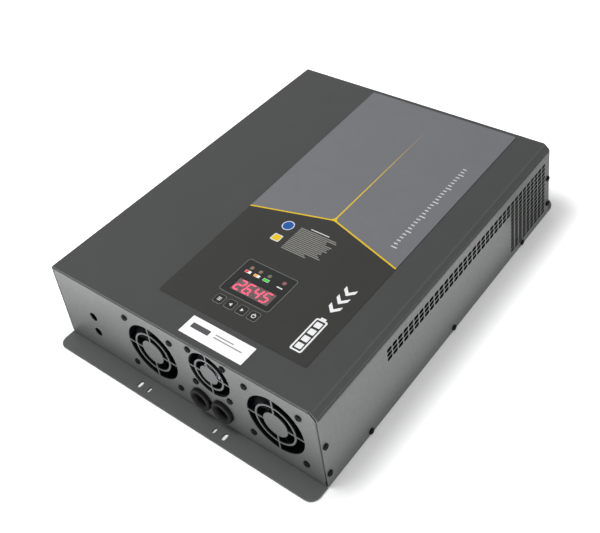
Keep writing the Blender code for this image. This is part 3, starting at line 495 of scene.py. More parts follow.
@dataclass
class Sheet:
    """A flat pattern with holes, carried through folds, of even thickness and with rounded rims."""

    outline: Array
    thickness: float
    holes: list = field(default_factory=list)
    place: Place = field(default_factory=Place)
    across: Bend = field(default_factory=Bend)
    along: Bend = field(default_factory=Bend)
    flat: Optional[Callable[[Array], Array]] = None
    rim: float = 0.25
    rim_steps: int = 2
    marks: list = field(default_factory=list)
    ground: Colour = (0.0, 0.0, 0.0)
    guides: list = field(default_factory=list)
    relief: Optional[Callable[[Array], Array]] = None

    def _surface(self, pattern: Array) -> tuple[Array, Array, Array, Array]:
        """Outer surface at pattern points.

        Args:
            pattern: the points.

        Returns:
            Points on the surface, its normal there, and its two tangents.
        """
        u, v = pattern[:, 0], pattern[:, 1]
        x, drop_u, turn_u = self.across.carry(u)
        y, drop_v, turn_v = self.along.carry(v)
        if self.flat is not None:
            still = self.flat(pattern)
            x, y = np.where(still, u, x), np.where(still, v, y)
            drop_u, drop_v, turn_u, turn_v = (np.where(still, 0, a) for a in (drop_u, drop_v, turn_u, turn_v))
        zero = np.zeros_like(u)
        points = np.stack((x, y, -drop_u - drop_v), axis=1)
        normal = np.stack((np.sin(turn_u), np.sin(turn_v), np.cos(turn_u) * np.cos(turn_v)), axis=1)
        first = np.stack((np.cos(turn_u), zero, -np.sin(turn_u)), axis=1)
        second = np.stack((zero, np.cos(turn_v), -np.sin(turn_v)), axis=1)
        return points, normal, first, second

    def _links(self, flats: list[Array], loops: list[Array]) -> list[tuple[int, int]]:
        """Pairs of outline points to join along each fold line, where the pattern has sheet between them.

        Args:
            flats: the inset outlines, whose points are numbered on from one to the next.
            loops: the full outlines.

        Returns:
            The numbers of the two points of each pair.
        """
        every = np.concatenate(flats)
        pairs = []
        for axis, bend in ((0, self.across), (1, self.along)):
            for value in bend.lines():
                on = np.nonzero(np.abs(every[:, axis] - value) < 1e-4)[0]
                on = on[np.argsort(every[on, 1 - axis])]
                kept = inside((every[on[:-1]] + every[on[1:]]) / 2, loops)
                pairs += list(zip(on[:-1][kept].tolist(), on[1:][kept].tolist()))
        return pairs

    def build(self) -> Shape:
        """Triangulates the pattern between its inset outlines, carries it through the folds, and closes it.

        The two faces share one triangulation. Each outline is joined from face to face by rings: at angle a of
        the rounded rim a ring lies rim * sin(a) out from the inset outline and rim * (1 - cos(a)) deep.

        Returns:
            The closed shape, with exact normals.
        """
        loops = []
        for loop in [self.outline] + list(self.holes):
            loop = loop if signed_area(loop) > 0 else loop[::-1]
            loop = split(loop, 0, self.across.lines())
            loops.append(split(loop, 1, self.along.lines()))
        flats = [offset(loop, self.rim if number else -self.rim) for number, loop in enumerate(loops)]
        cuts = [mark.loop for mark in self.marks] + list(self.guides)
        source = np.concatenate(flats + cuts)
        sizes = [len(loop) for loop in flats + cuts]
        starts = np.concatenate(([0], np.cumsum(sizes)[:-1]))
        edges = []
        for start, size in zip(starts, sizes):
            run = start + np.arange(size)
            edges += list(zip(run.tolist(), np.roll(run, -1).tolist()))
        edges += self._links(flats, loops)
        found = delaunay_2d_cdt([Vector(p) for p in source.tolist()], edges, [], 0, 1e-5, True)
        pattern = np.array([tuple(p) for p in found[0]])
        triangles = np.array(found[2])
        origins = found[3]
        counts = np.fromiter(map(len, origins), int, len(origins))
        given = np.concatenate([np.asarray(o, int) for o in origins])
        index = np.zeros(len(source), int)
        index[given] = np.repeat(np.arange(len(origins)), counts)
        corners = pattern[triangles]
        edge_a, edge_b = corners[:, 1] - corners[:, 0], corners[:, 2] - corners[:, 0]
        clockwise = edge_a[:, 0] * edge_b[:, 1] - edge_a[:, 1] * edge_b[:, 0] < 0
        triangles[clockwise] = triangles[clockwise][:, ::-1]
        middles = corners.mean(axis=1)
        kept = inside(middles, flats)
        triangles, middles = triangles[kept], middles[kept]
        rings = [index[start : start + len(loop)] for start, loop in zip(starts, loops)]
        return self._closed(pattern, triangles, middles, list(zip(loops, flats, rings)))

    def _closed(self, pattern: Array, triangles: Array, middles: Array, edges: list) -> Shape:
        """Puts the faces, the rim rings and their normals together.

        Args:
            pattern: the pattern's points.
            triangles: its triangles, counter-clockwise.
            middles: their middles.
            edges: full outline, inset outline, and the inset one's point numbers, for each outline.

        Returns:
            The closed shape.
        """
        points, normal, _, _ = self._surface(pattern)
        lift = np.zeros(len(pattern)) if self.relief is None else self.relief(pattern)
        top = points + normal * lift[:, None]
        top_normal = normal.copy()
        if self.relief is not None:
            step = 0.02
            for axis, shift in enumerate(np.eye(2) * step):
                top_normal[:, axis] -= (self.relief(pattern + shift) - self.relief(pattern - shift)) / 2 / step
        bottom = points - normal * self.thickness
        all_points, all_normals = [top, bottom], [top_normal, -normal]
        count = 2 * len(pattern)
        rims, cuts = [np.zeros(count)], [np.zeros(count)]
        quads, homes = [], []
        angles = np.linspace(0, math.pi / 2, self.rim_steps + 1)[1:]
        stations = [(math.sin(a), self.rim * (1 - math.cos(a)), math.cos(a)) for a in angles]
        depth = self.thickness
        stations += [(s, depth - d, -c) for s, d, c in stations[::-1]]
        for number, (loop, flat, ring) in enumerate(edges):
            size = len(loop)
            before = ring
            outward = loop - flat
            outward_unit = outward / np.linalg.norm(outward, axis=1, keepdims=True)
            for share, down, lean in stations:
                place, up, first, second = self._surface(flat + outward * share)
                side = first * outward_unit[:, :1] + second * outward_unit[:, 1:]
                all_points.append(place - up * down)
                all_normals.append(up * lean + side * math.sqrt(max(1 - lean * lean, 0)))
                # rim marks the upper rings, which the finish pales (wear and painted highlight); cut marks the lower
                # half of hole walls for painted shade.
                rims.append(np.full(size, lean > 0.01, float))
                cuts.append(np.full(size, number > 0 and lean < 0.5, float))
                now = count + np.arange(size)
                count += size
                quads.append(self._strip(before, now, number > 0))
                homes.append(flat)
                before = now
            quads.append(self._strip(before, ring + len(pattern), number > 0))
            homes.append(flat)
        world = self.place.points(np.concatenate(all_points))
        directions = np.concatenate(all_normals)
        directions /= np.linalg.norm(directions, axis=1, keepdims=True)
        strips = np.concatenate(quads)
        home = np.concatenate(homes)
        faces = triangles.tolist() + (triangles[:, ::-1] + len(pattern)).tolist() + strips.tolist()
        slots, paints = self._paint(np.concatenate((middles, middles, home)))
        paints = paints if self.marks else None
        marks = np.concatenate(rims), np.concatenate(cuts)
        return Shape(world, faces, self.place.directions(directions), *marks, slots, paints)

    @staticmethod
    def _strip(upper: Array, lower: Array, hole: bool) -> Array:
        """Quads between two rings, facing away from the sheet.

        Args:
            upper: point numbers of the ring nearer to the outer face.
            lower: those of the other ring.
            hole: whether they go round a hole.

        Returns:
            Four point numbers for each quad.
        """
        next_upper, next_lower = np.roll(upper, -1), np.roll(lower, -1)
        if hole:
            return np.stack((upper, next_upper, next_lower, lower), axis=1)
        return np.stack((lower, next_lower, next_upper, upper), axis=1)

    def _paint(self, places: Array) -> tuple[Array, Array]:
        """Finish number and colour at each place: the last mark that holds it wins.

        Args:
            places: middles of the faces on the pattern.

        Returns:
            The number of the finish, and the printed colour, for each.
        """
        slots = np.zeros(len(places), int)
        paints = np.tile(np.array(self.ground), (len(places), 1))
        for mark in self.marks:
            low, high = mark.loop.min(axis=0), mark.loop.max(axis=0)
            near = np.nonzero(((places > low) & (places < high)).all(axis=1))[0]
            held = near[inside(places[near], [mark.loop])] if len(near) else near
            slots[held] = mark.slot
            paints[held] = mark.colour
        return slots, paints


def ring_faces(rings: int, count: int, looped: bool = False) -> Array:
    """Quads between neighbouring rings of points.

    Args:
        rings: how many rings there are.
        count: points in each ring.
        looped: whether the last ring joins the first.

    Returns:
        Four point numbers for each quad: two on the lower ring, then two on the upper one.
    """
    run = np.arange(count)
    following = np.roll(run, -1)
    low = np.arange(rings if looped else rings - 1)[:, None] * count
    high = (low + count) % (rings * count)
    return np.stack((low + run, low + following, high + following, high + run), axis=2).reshape(-1, 4)


def turned(profile: Array, place: Place, count: int = 64, looped: bool = False) -> Shape:
    """Profile of (radius, height) rows carried round the place's third axis.

    Args:
        profile: radius and height of each ring; a radius of 0 at an end closes the shape in one point.
        place: the axis, with heights along its third direction.
        count: points in each ring.
        looped: whether the last ring joins the first.

    Returns:
        The closed shape, with Blender's smooth normals.
    """
    turn = np.arange(count) * 2 * math.pi / count
    radius, height = profile[:, 0][:, None], profile[:, 1][:, None]
    rows = np.stack((radius * np.cos(turn), radius * np.sin(turn), height + 0 * turn), axis=2)
    first_pole, last_pole = profile[0, 0] == 0, profile[-1, 0] == 0
    body = rows[int(first_pole) : len(rows) - int(last_pole)]
    local = body.reshape(-1, 3)
    run = np.arange(count)
    following = np.roll(run, -1)
    faces = ring_faces(len(body), count, looped).tolist()
    if first_pole:
        faces += np.stack((np.full(count, len(local)), following, run), axis=1).tolist()
        local = np.concatenate((local, rows[0, :1]))
    if last_pole:
        last = (len(body) - 1) * count
        faces += np.stack((last + run, last + following, np.full(count, len(local))), axis=1).tolist()
        local = np.concatenate((local, rows[-1, :1]))
    return Shape(place.points(local), faces)


# ---------------------------------------------------------------- finishes


class Shader:
    """Nodes of a material or a world, built one at a time."""

    def __init__(self, holder: bpy.types.ID, output: str = "OutputMaterial") -> None:
        """Starts an empty tree with its output node.

        Args:
            holder: the material or world.
            output: the output node's type.
        """
        self.holder = holder
        holder.use_nodes = True
        self.tree = holder.node_tree
        self.tree.nodes.clear()
        self.output = self.add(output)

    def add(self, kind: str, inputs: Optional[dict] = None, **settings: object) -> bpy.types.Node:
        """Adds a node.

        Args:
            kind: the node's type, without the leading "ShaderNode".
            inputs: values or sockets by input name or number.
            settings: the node's own settings.

        Returns:
            The node.
        """
        node = self.tree.nodes.new("ShaderNode" + kind)
        for key, value in settings.items():
            setattr(node, key, value)
        for key, value in (inputs or {}).items():
            if isinstance(value, bpy.types.NodeSocket):
                self.tree.links.new(value, node.inputs[key])
            elif isinstance(value, tuple) and len(value) == 3 and node.inputs[key].type == "RGBA":
                node.inputs[key].default_value = (*value, 1.0)
            else:
                node.inputs[key].default_value = value
        return node

    def noise(self, vector: bpy.types.NodeSocket, size: float, detail: float = 2.0) -> bpy.types.NodeSocket:
        """Noise whose patches are about `size` millimetres wide."""
        return self.add("TexNoise", {"Vector": vector, "Scale": 1 / (size * MM), "Detail": detail}).outputs["Fac"]

    def spread(self, value: bpy.types.NodeSocket, low: float, high: float) -> bpy.types.NodeSocket:
        """Noise value of 0.3 to 0.7 spread over a range."""
        inputs = {"Value": value, "From Min": 0.3, "From Max": 0.7, "To Min": low, "To Max": high}
        return self.add("MapRange", inputs).outputs["Result"]

    def blend(self, factor: bpy.types.NodeSocket, a: object, b: object) -> bpy.types.NodeSocket:
        """Colour between two colours."""
        return self.add("Mix", {0: factor, 6: a, 7: b}, data_type="RGBA").outputs[2]

    def scaled(self, a: object, b: object) -> bpy.types.NodeSocket:
        """Product of two numbers."""
        return self.add("Math", {0: a, 1: b}, operation="MULTIPLY").outputs[0]

    def vector(self, operation: str, *inputs: object) -> bpy.types.Node:
        """Vector maths on one or two inputs."""
        return self.add("VectorMath", dict(enumerate(inputs)), operation=operation)

    def direct(self) -> bpy.types.NodeSocket:
        """1 for camera, glossy and transmission rays, and 0 for all others."""
        rays = self.add("LightPath").outputs
        seen = self.add("Math", {0: rays["Is Camera Ray"], 1: rays["Is Glossy Ray"]}, operation="MAXIMUM")
        both = {0: seen.outputs[0], 1: rays["Is Transmission Ray"]}
        return self.add("Math", both, operation="MAXIMUM").outputs[0]

    def close(self, socket: bpy.types.NodeSocket) -> bpy.types.ID:
        """Joins the surface to the output and gives the material or world."""
        self.tree.links.new(socket, self.output.inputs["Surface"])
        return self.holder


class Grain(Enum):
    """Small-scale surface of a finish: patch size in mm, stretch along x, y and z, and bump height in mm."""

    PEEL = (1.1, (1.0, 1.0, 1.0), 0.012)
    FILM = (0.35, (1.0, 1.0, 1.0), 0.003)
    MOULDED = (0.45, (1.0, 1.0, 1.0), 0.008)
    RUBBER = (0.7, (1.0, 1.0, 1.0), 0.015)
    BRUSHED = (0.25, (0.06, 1.0, 1.0), 0.004)
    PLATED = (0.3, (1.0, 1.0, 1.0), 0.002)
    WOUND = (1.2, (0.08, 1.0, 1.0), 0.15)
    WOVEN = (0.6, (1.0, 0.3, 1.0), 0.01)


@dataclass(frozen=True)
class Finish:
    """A finish with mottled colour, uneven gloss, fine bump, paler rims (partly wear, partly painted highlight) and
    hole walls darkened as painted shade, where the mesh marks them.
    """

    name: str
    slot: str
    colour: Colour
    grain: Grain
    roughness: tuple[float, float] = (0.4, 0.5)
    metallic: float = 0.0
    specular: float = 0.5
    mottle: float = 0.06
    patch: float = 45.0
    wear_and_highlight: float = 0.0
    printed: bool = False
    alpha: float = 1.0
    glow: float = 0.0

    def material(self) -> bpy.types.Material:
        """Builds the finish as a node material.

        Returns:
            The material.
        """
        s = Shader(bpy.data.materials.new(self.name))
        place = s.add("TexCoord").outputs["Object"]
        size, stretch, height = self.grain.value
        stretched = s.add("Mapping", {"Vector": place, "Scale": stretch}).outputs["Vector"]
        fine = s.noise(stretched, size, 2.0)
        broad = s.noise(place, self.patch, 3.0)
        dust = s.noise(place, self.patch / 9, 2.0)
        if self.printed:
            base = s.add("Attribute", attribute_name="print").outputs["Color"]
        else:
            base = s.add("RGB").outputs[0]
            base.default_value = (*self.colour, 1.0)
        mottled = s.spread(broad, 1 - self.mottle, 1 + self.mottle)
        level = s.add("Math", {0: mottled, 1: s.spread(dust, -0.02, 0.02)})
        shade = s.add("VectorMath", {0: base, "Scale": level.outputs[0]}, operation="SCALE").outputs[0]
        # Rims are paled: partly edge wear, partly a painted highlight on the edges.
        if self.wear_and_highlight > 0:
            rim = s.add("Attribute", attribute_name="rim").outputs["Fac"]
            worn_and_lit = s.scaled(rim, s.spread(s.noise(place, 3.0, 3.0), 0.15, 1.0))
            pale = tuple(min(1.0, c * (1 + 6 * self.wear_and_highlight) + 0.25 * self.wear_and_highlight) for c in self.colour)
            shade = s.blend(s.scaled(worn_and_lit, self.wear_and_highlight), shade, pale)
            # Painted shade: the lower half of each hole wall is darkened towards a tenth of the colour.
            cut = s.add("Attribute", attribute_name="cut").outputs["Fac"]
            shade = s.blend(s.scaled(cut, 0.8), shade, tuple(0.1 * c for c in self.colour))
        rough = s.spread(dust, *self.roughness)
        bump = s.add("Bump", {"Strength": 1.0, "Distance": height * MM, "Height": fine}).outputs["Normal"]
        inputs = {
            "Base Color": shade,
            "Roughness": rough,
            "Metallic": self.metallic,
            "Normal": bump,
            "Specular IOR Level": self.specular,
            "Alpha": self.alpha,
        }
        if self.glow > 0:
            inputs |= {"Emission Color": shade, "Emission Strength": self.glow}
        return s.close(s.add("BsdfPrincipled", inputs).outputs[0])


class Finishes:
    """All finishes of the part, each made once."""

    COAT = Finish("powder_coat", "grey_powder_coat", srgb(61, 62.4, 61.6), Grain.PEEL, (0.38, 0.48),
                  specular=0.18, mottle=0.03, wear_and_highlight=0.10)
    # Painted light: the same powder coat as COAT, made lighter so that the flange looks as lit as the top.
    PLATE_PAINTED_LIGHT = Finish("plate_coat_painted_light", "grey_powder_coat", srgb(81, 82.6, 81.6), Grain.PEEL, (0.4, 0.5),
                   specular=0.18, mottle=0.03, wear_and_highlight=0.10)
    # Painted shade: a dark band of the same coat in the lower fold of the cover's right bend.
    CREASE_PAINTED_SHADE = Finish("coat_painted_crease_shade", "grey_powder_coat", srgb(14, 14.5, 14), Grain.PEEL, (0.4, 0.5),
                    specular=0.1, mottle=0.03)
    # Painted shade: a darker copy of the coat on the right bend's slanted strip and along the side's top.
    STRIP_PAINTED_SHADE = Finish("coat_painted_strip_shade", "grey_powder_coat", srgb(53, 54.2, 53.5), Grain.PEEL, (0.4, 0.5),
                  specular=0.1, mottle=0.03)
    SCREW = Finish("screw_steel", "black_screw_steel", srgb(11, 11, 12), Grain.PLATED, (0.5, 0.6), specular=0.03)
    RUBBER = Finish("rubber", "black_rubber", srgb(14, 14, 15), Grain.RUBBER, (0.5, 0.65), specular=0.08)
    PLASTIC = Finish("fan_plastic", "black_plastic", srgb(5, 6, 9), Grain.MOULDED, (0.45, 0.55), specular=0.03)
    FILM = Finish("overlay_print", "overlay_film", (0.05, 0.05, 0.05), Grain.FILM, (0.36, 0.42),
                  specular=0.15, mottle=0.02, printed=True)
    WINDOW = Finish("window_tint", "overlay_film", srgb(70, 50, 52), Grain.FILM, (0.15, 0.2),
                    specular=0.3, mottle=0.02, alpha=0.14)
    LABEL = Finish("label_paper", "overlay_film", srgb(240, 240, 242), Grain.FILM, (0.35, 0.45),
                   specular=0.3, mottle=0.01, printed=True)
    HUB_LABEL = Finish("hub_foil", "overlay_film", srgb(205, 222, 240), Grain.BRUSHED, (0.25, 0.35),
                       specular=0.5, mottle=0.03)
    DISPLAY = Finish("display_face", "display_red", srgb(120, 104, 104), Grain.MOULDED, (0.4, 0.5), mottle=0.03)
    LIT = Finish("segment_lit", "display_red", (1.0, 0.075, 0.17), Grain.MOULDED, (0.3, 0.4), glow=1.25, mottle=0.04)
    UNLIT = Finish("segment_unlit", "display_red", srgb(112, 92, 94), Grain.MOULDED, (0.3, 0.4))
    PLUNGER = Finish("plunger_plastic", "key_plunger", srgb(180, 178, 170), Grain.MOULDED)
    BOARD = Finish("board_mask", "green_board", srgb(24, 74, 46), Grain.WOVEN, (0.28, 0.4), mottle=0.08, patch=12)
    NYLON = Finish("nylon", "nylon", srgb(222, 219, 208), Grain.MOULDED, (0.4, 0.55))
    BRASS = Finish("brass", "brass", srgb(200, 160, 84), Grain.BRUSHED, (0.22, 0.35), 1.0)
    ALUMINIUM = Finish("aluminium", "aluminium", srgb(196, 198, 200), Grain.BRUSHED, (0.28, 0.42), 1.0)
    FERRITE = Finish("ferrite", "ferrite", srgb(58, 57, 56), Grain.RUBBER, (0.55, 0.75))
    COPPER = Finish("copper_wire", "copper_winding", srgb(176, 98, 48), Grain.WOUND, (0.25, 0.4), 0.8)
    SLEEVE = Finish("capacitor_sleeve", "capacitor_sleeve", srgb(30, 34, 56), Grain.FILM, (0.25, 0.35))
    CAN = Finish("filter_can", "filter_can", srgb(182, 184, 184), Grain.BRUSHED, (0.3, 0.45), 0.9)
    TERMINAL = Finish("terminal_plastic", "terminal_grey", srgb(96, 100, 104), Grain.MOULDED, (0.4, 0.55))

    _made: dict = {}

    @classmethod
    def get(cls, finish: Finish) -> bpy.types.Material:
        """The material of a finish, made on first use."""
        if finish.name not in cls._made:
            cls._made[finish.name] = finish.material()
        return cls._made[finish.name]


def dressed(shape: Shape, name: str, body: str, finishes: list[Finish], replaces: tuple = ()) -> bpy.types.Object:
    """Makes a piece with its finishes.

    Args:
        shape: its mesh data.
        name: its name.
        body: the CAD body that it moves with.
        finishes: its finishes in slot order; the first one's record slot is passed on but not used.
        replaces: CAD nodes that it stands for.

    Returns:
        The new object.
    """
    return shape.piece(name, body, finishes[0].slot, [Finishes.get(f) for f in finishes], replaces)


# ---------------------------------------------------------------- case


@dataclass
class BasePlate:
    """Floor sheet that runs out as a flange at both ends, with folded side lips and slots."""

    half_width: float = 200.0
    half_depth: float = 270.5
    corner: float = 12.0
    back_corner: float = 20.0
    sheet: float = 2.0
    inner_half: float = 198.2
    step: float = 246.3
    lip_end: float = 232.7
    lip_height: float = 10.0
    bend: float = 3.0
    relief: float = 0.3
    slot_line: float = 259.3
    slot_shift: float = 2.0
    slots: tuple = ((66.5, 5.0, 9.0), (51.5, 3.6, 7.0))

    def outline(self) -> Array:
        """Flat pattern: the flanges, and lips between narrow reliefs.

        Returns:
            The outline's points.
        """
        fold = self.inner_half - self.bend
        lip = fold + self.bend * math.pi / 2 + self.lip_height - self.bend
        notch = fold - 0.5
        cut = self.lip_end + self.relief
        right = [
            (self.half_width, -self.half_depth),
            (self.half_width, -self.step),
            (self.inner_half, -self.step),
            (self.inner_half, -cut),
            (notch, -cut),
            (notch, -self.lip_end),
            (lip, -self.lip_end),
        ]
        radii = [self.back_corner] + [0.0] * 5 + [1.5]
        right += [(x, -y) for x, y in right[::-1]]
        radii += [1.5] + [0.0] * 5 + [self.corner]
        points = right + [(-x, y) for x, y in right[::-1]]
        return arced(points, radii + radii[::-1], 8)

    def build(self) -> bpy.types.Object:
        """Makes the plate; its outer face is the underside.

        Returns:
            The new object.
        """
        holes = [
            block(side * x + self.slot_shift, end * self.slot_line, width, length, width / 2 - 0.01, 8)
            for x, width, length in self.slots
            for side, end in BOTH_SIDES
        ]
        fold = self.inner_half - self.bend
        sheet = Sheet(
            self.outline(),
            self.sheet,
            holes,
            Place((0, 0, 0), (1, 0, 0), (0, -1, 0)),
            across=Bend(-fold, fold, self.bend, self.bend, steps=3),
            flat=lambda p: np.abs(p[:, 1]) > self.lip_end + self.relief / 2,
            rim=0.3,
        )
        # The plate takes the lighter copy of the coat: painted light on the flange.
        return dressed(sheet.build(), "base_plate_sheet", "case", [Finishes.PLATE_PAINTED_LIGHT], ("base_plate",))


@dataclass
class Fan:
    """Sizes of one fan and its opening in the front panel."""

    name: str
    x: float
    z: float
    size: float
    holes: float
    opening: float
    duct: float
    hub: float

    def screw_places(self) -> Array:
        """Places of the four screws about the fan's centre."""
        return np.array(BOTH_SIDES) * self.holes / 2


FANS = (
    Fan("left", -39.6, 58.7, 80.0, 71.5, 38.0, 38.5, 16.9),
    Fan("centre", 51.5, 78.1, 60.0, 50.0, 29.4, 28.5, 12.5),
    Fan("right", 140.4, 58.7, 80.0, 71.5, 38.0, 38.5, 16.9),
)
GROMMETS = ((30.0, 27.8), (62.0, 27.8))
KEYS = (13.4, 30.1, 46.8, 63.5)
KEY_LINE = -180.3
LAMPS = (13.4, 26.5, 39.8, 61.4)


@dataclass
class Panel:
    """Folded pan that closes one end of the case."""

    half_width: float = 197.5
    bottom: float = 2.3
    top: float = 110.2
    face: float = 247.0
    sheet: float = 1.5
    bend: float = 2.4
    depth: float = 14.0
    relief: float = 0.3
    ring_share: float = 0.72
    disc_share: float = 0.425
    band: float = 2.4
    spoke: float = 2.0
    screw_hole: float = 2.2
    grommet_hole: float = 11.0
    side_holes: tuple = ((-140.7, 59.4, 6.0), (-140.7, 34.2, 6.0))
    past_fold: float = 0.5
    lower_corner: tuple = (4.0, 0.4)
    upper_left_corner: tuple = (4.0, 1.8)
    upper_right_corner: tuple = (8.8, 6.0)
    rim: float = 0.2

    @property
    def middle(self) -> float:
        """Height of the panel's centre."""
        return (self.bottom + self.top) / 2

    def corner(self, sign: tuple[int, int], clear: float, cut: float) -> list[tuple[float, float]]:
        """Pattern points round one corner, from the flap above or below it to the flap beside it.

        Args:
            sign: the corner's side across and up.
            clear: how far from the corner the flaps end.
            cut: how far the corner is cut off.

        Returns:
            The points in order.
        """
        half, high = self.half_width, (self.top - self.bottom) / 2
        fold_u, fold_v = half - self.bend, high - self.bend
        reach = self.bend * math.pi / 2 + self.depth - self.bend
        inset_u, inset_v = fold_u - self.past_fold, fold_v - self.past_fold
        points = [
            (half - clear - self.relief, fold_v + reach),
            (half - clear - self.relief, inset_v),
            (half - clear, inset_v),
            (half - clear, high),
            (half - cut, high),
            (half, high - cut),
            (half, high - clear),
            (inset_u, high - clear),
            (inset_u, high - clear - self.relief),
            (fold_u + reach, high - clear - self.relief),
        ]
        return [(sign[0] * x, sign[1] * y) for x, y in points]

    def openings(self) -> list[Array]:
        """Guard gaps, fan screw holes, grommet holes and plain holes of the front panel.

        Returns:
            The outlines of all openings.
        """
        found = []
        for fan in FANS:
            centre = np.array((fan.x, fan.z - self.middle))
            ring = self.ring_share * fan.opening
            gaps = quarters(ring, fan.opening, self.spoke)
            gaps += quarters(self.disc_share * fan.opening, ring - self.band, self.spoke, 14)
            found += [gap + centre for gap in gaps]
            found += [circle(x, z, self.screw_hole, 20) for x, z in centre + fan.screw_places()]
        found += [circle(x, z - self.middle, self.grommet_hole, 48) for x, z in GROMMETS]
        found += [circle(x, z - self.middle, r, 40) for x, z, r in self.side_holes]
        return found

    def build(self, name: str, front: bool) -> bpy.types.Object:
        """Makes the front or rear pan with its flaps and corner cuts.

        Args:
            name: the CAD node that it stands for.
            front: whether it is the front one.

        Returns:
            The new object.
        """
        right = 1 if front else -1
        clears = {
            (1, -1): self.lower_corner,
            (right, 1): self.upper_right_corner,
            (-right, 1): self.upper_left_corner,
            (-1, -1): self.lower_corner,
        }
        points: list = []
        for sign in ((1, -1), (1, 1), (-1, 1), (-1, -1)):
            corner = self.corner(sign, *clears[sign])
            points += corner if sign[0] * sign[1] < 0 else corner[::-1]
        half, high = self.half_width, (self.top - self.bottom) / 2

        def stays_flat(pattern: Array) -> Array:
            """Corner pieces of the pattern, which no fold takes along."""
            still = np.zeros(len(pattern), bool)
            for sign, (clear, _) in clears.items():
                limit = clear + self.relief / 2
                still |= (pattern[:, 0] * sign[0] > half - limit) & (pattern[:, 1] * sign[1] > high - limit)
            return still

        place = Place((0, -right * self.face, self.middle), (right, 0, 0), (0, 0, 1))
        fold_u, fold_v = half - self.bend, high - self.bend
        sheet = Sheet(
            np.array(points),
            self.sheet,
            self.openings() if front else [],
            place,
            across=Bend(-fold_u, fold_u, self.bend, self.bend, steps=3),
            along=Bend(-fold_v, fold_v, self.bend, self.bend, steps=3),
            flat=stays_flat,
            rim=self.rim,
        )
        return dressed(sheet.build(), name + "_sheet", "case", [Finishes.COAT], (name,))


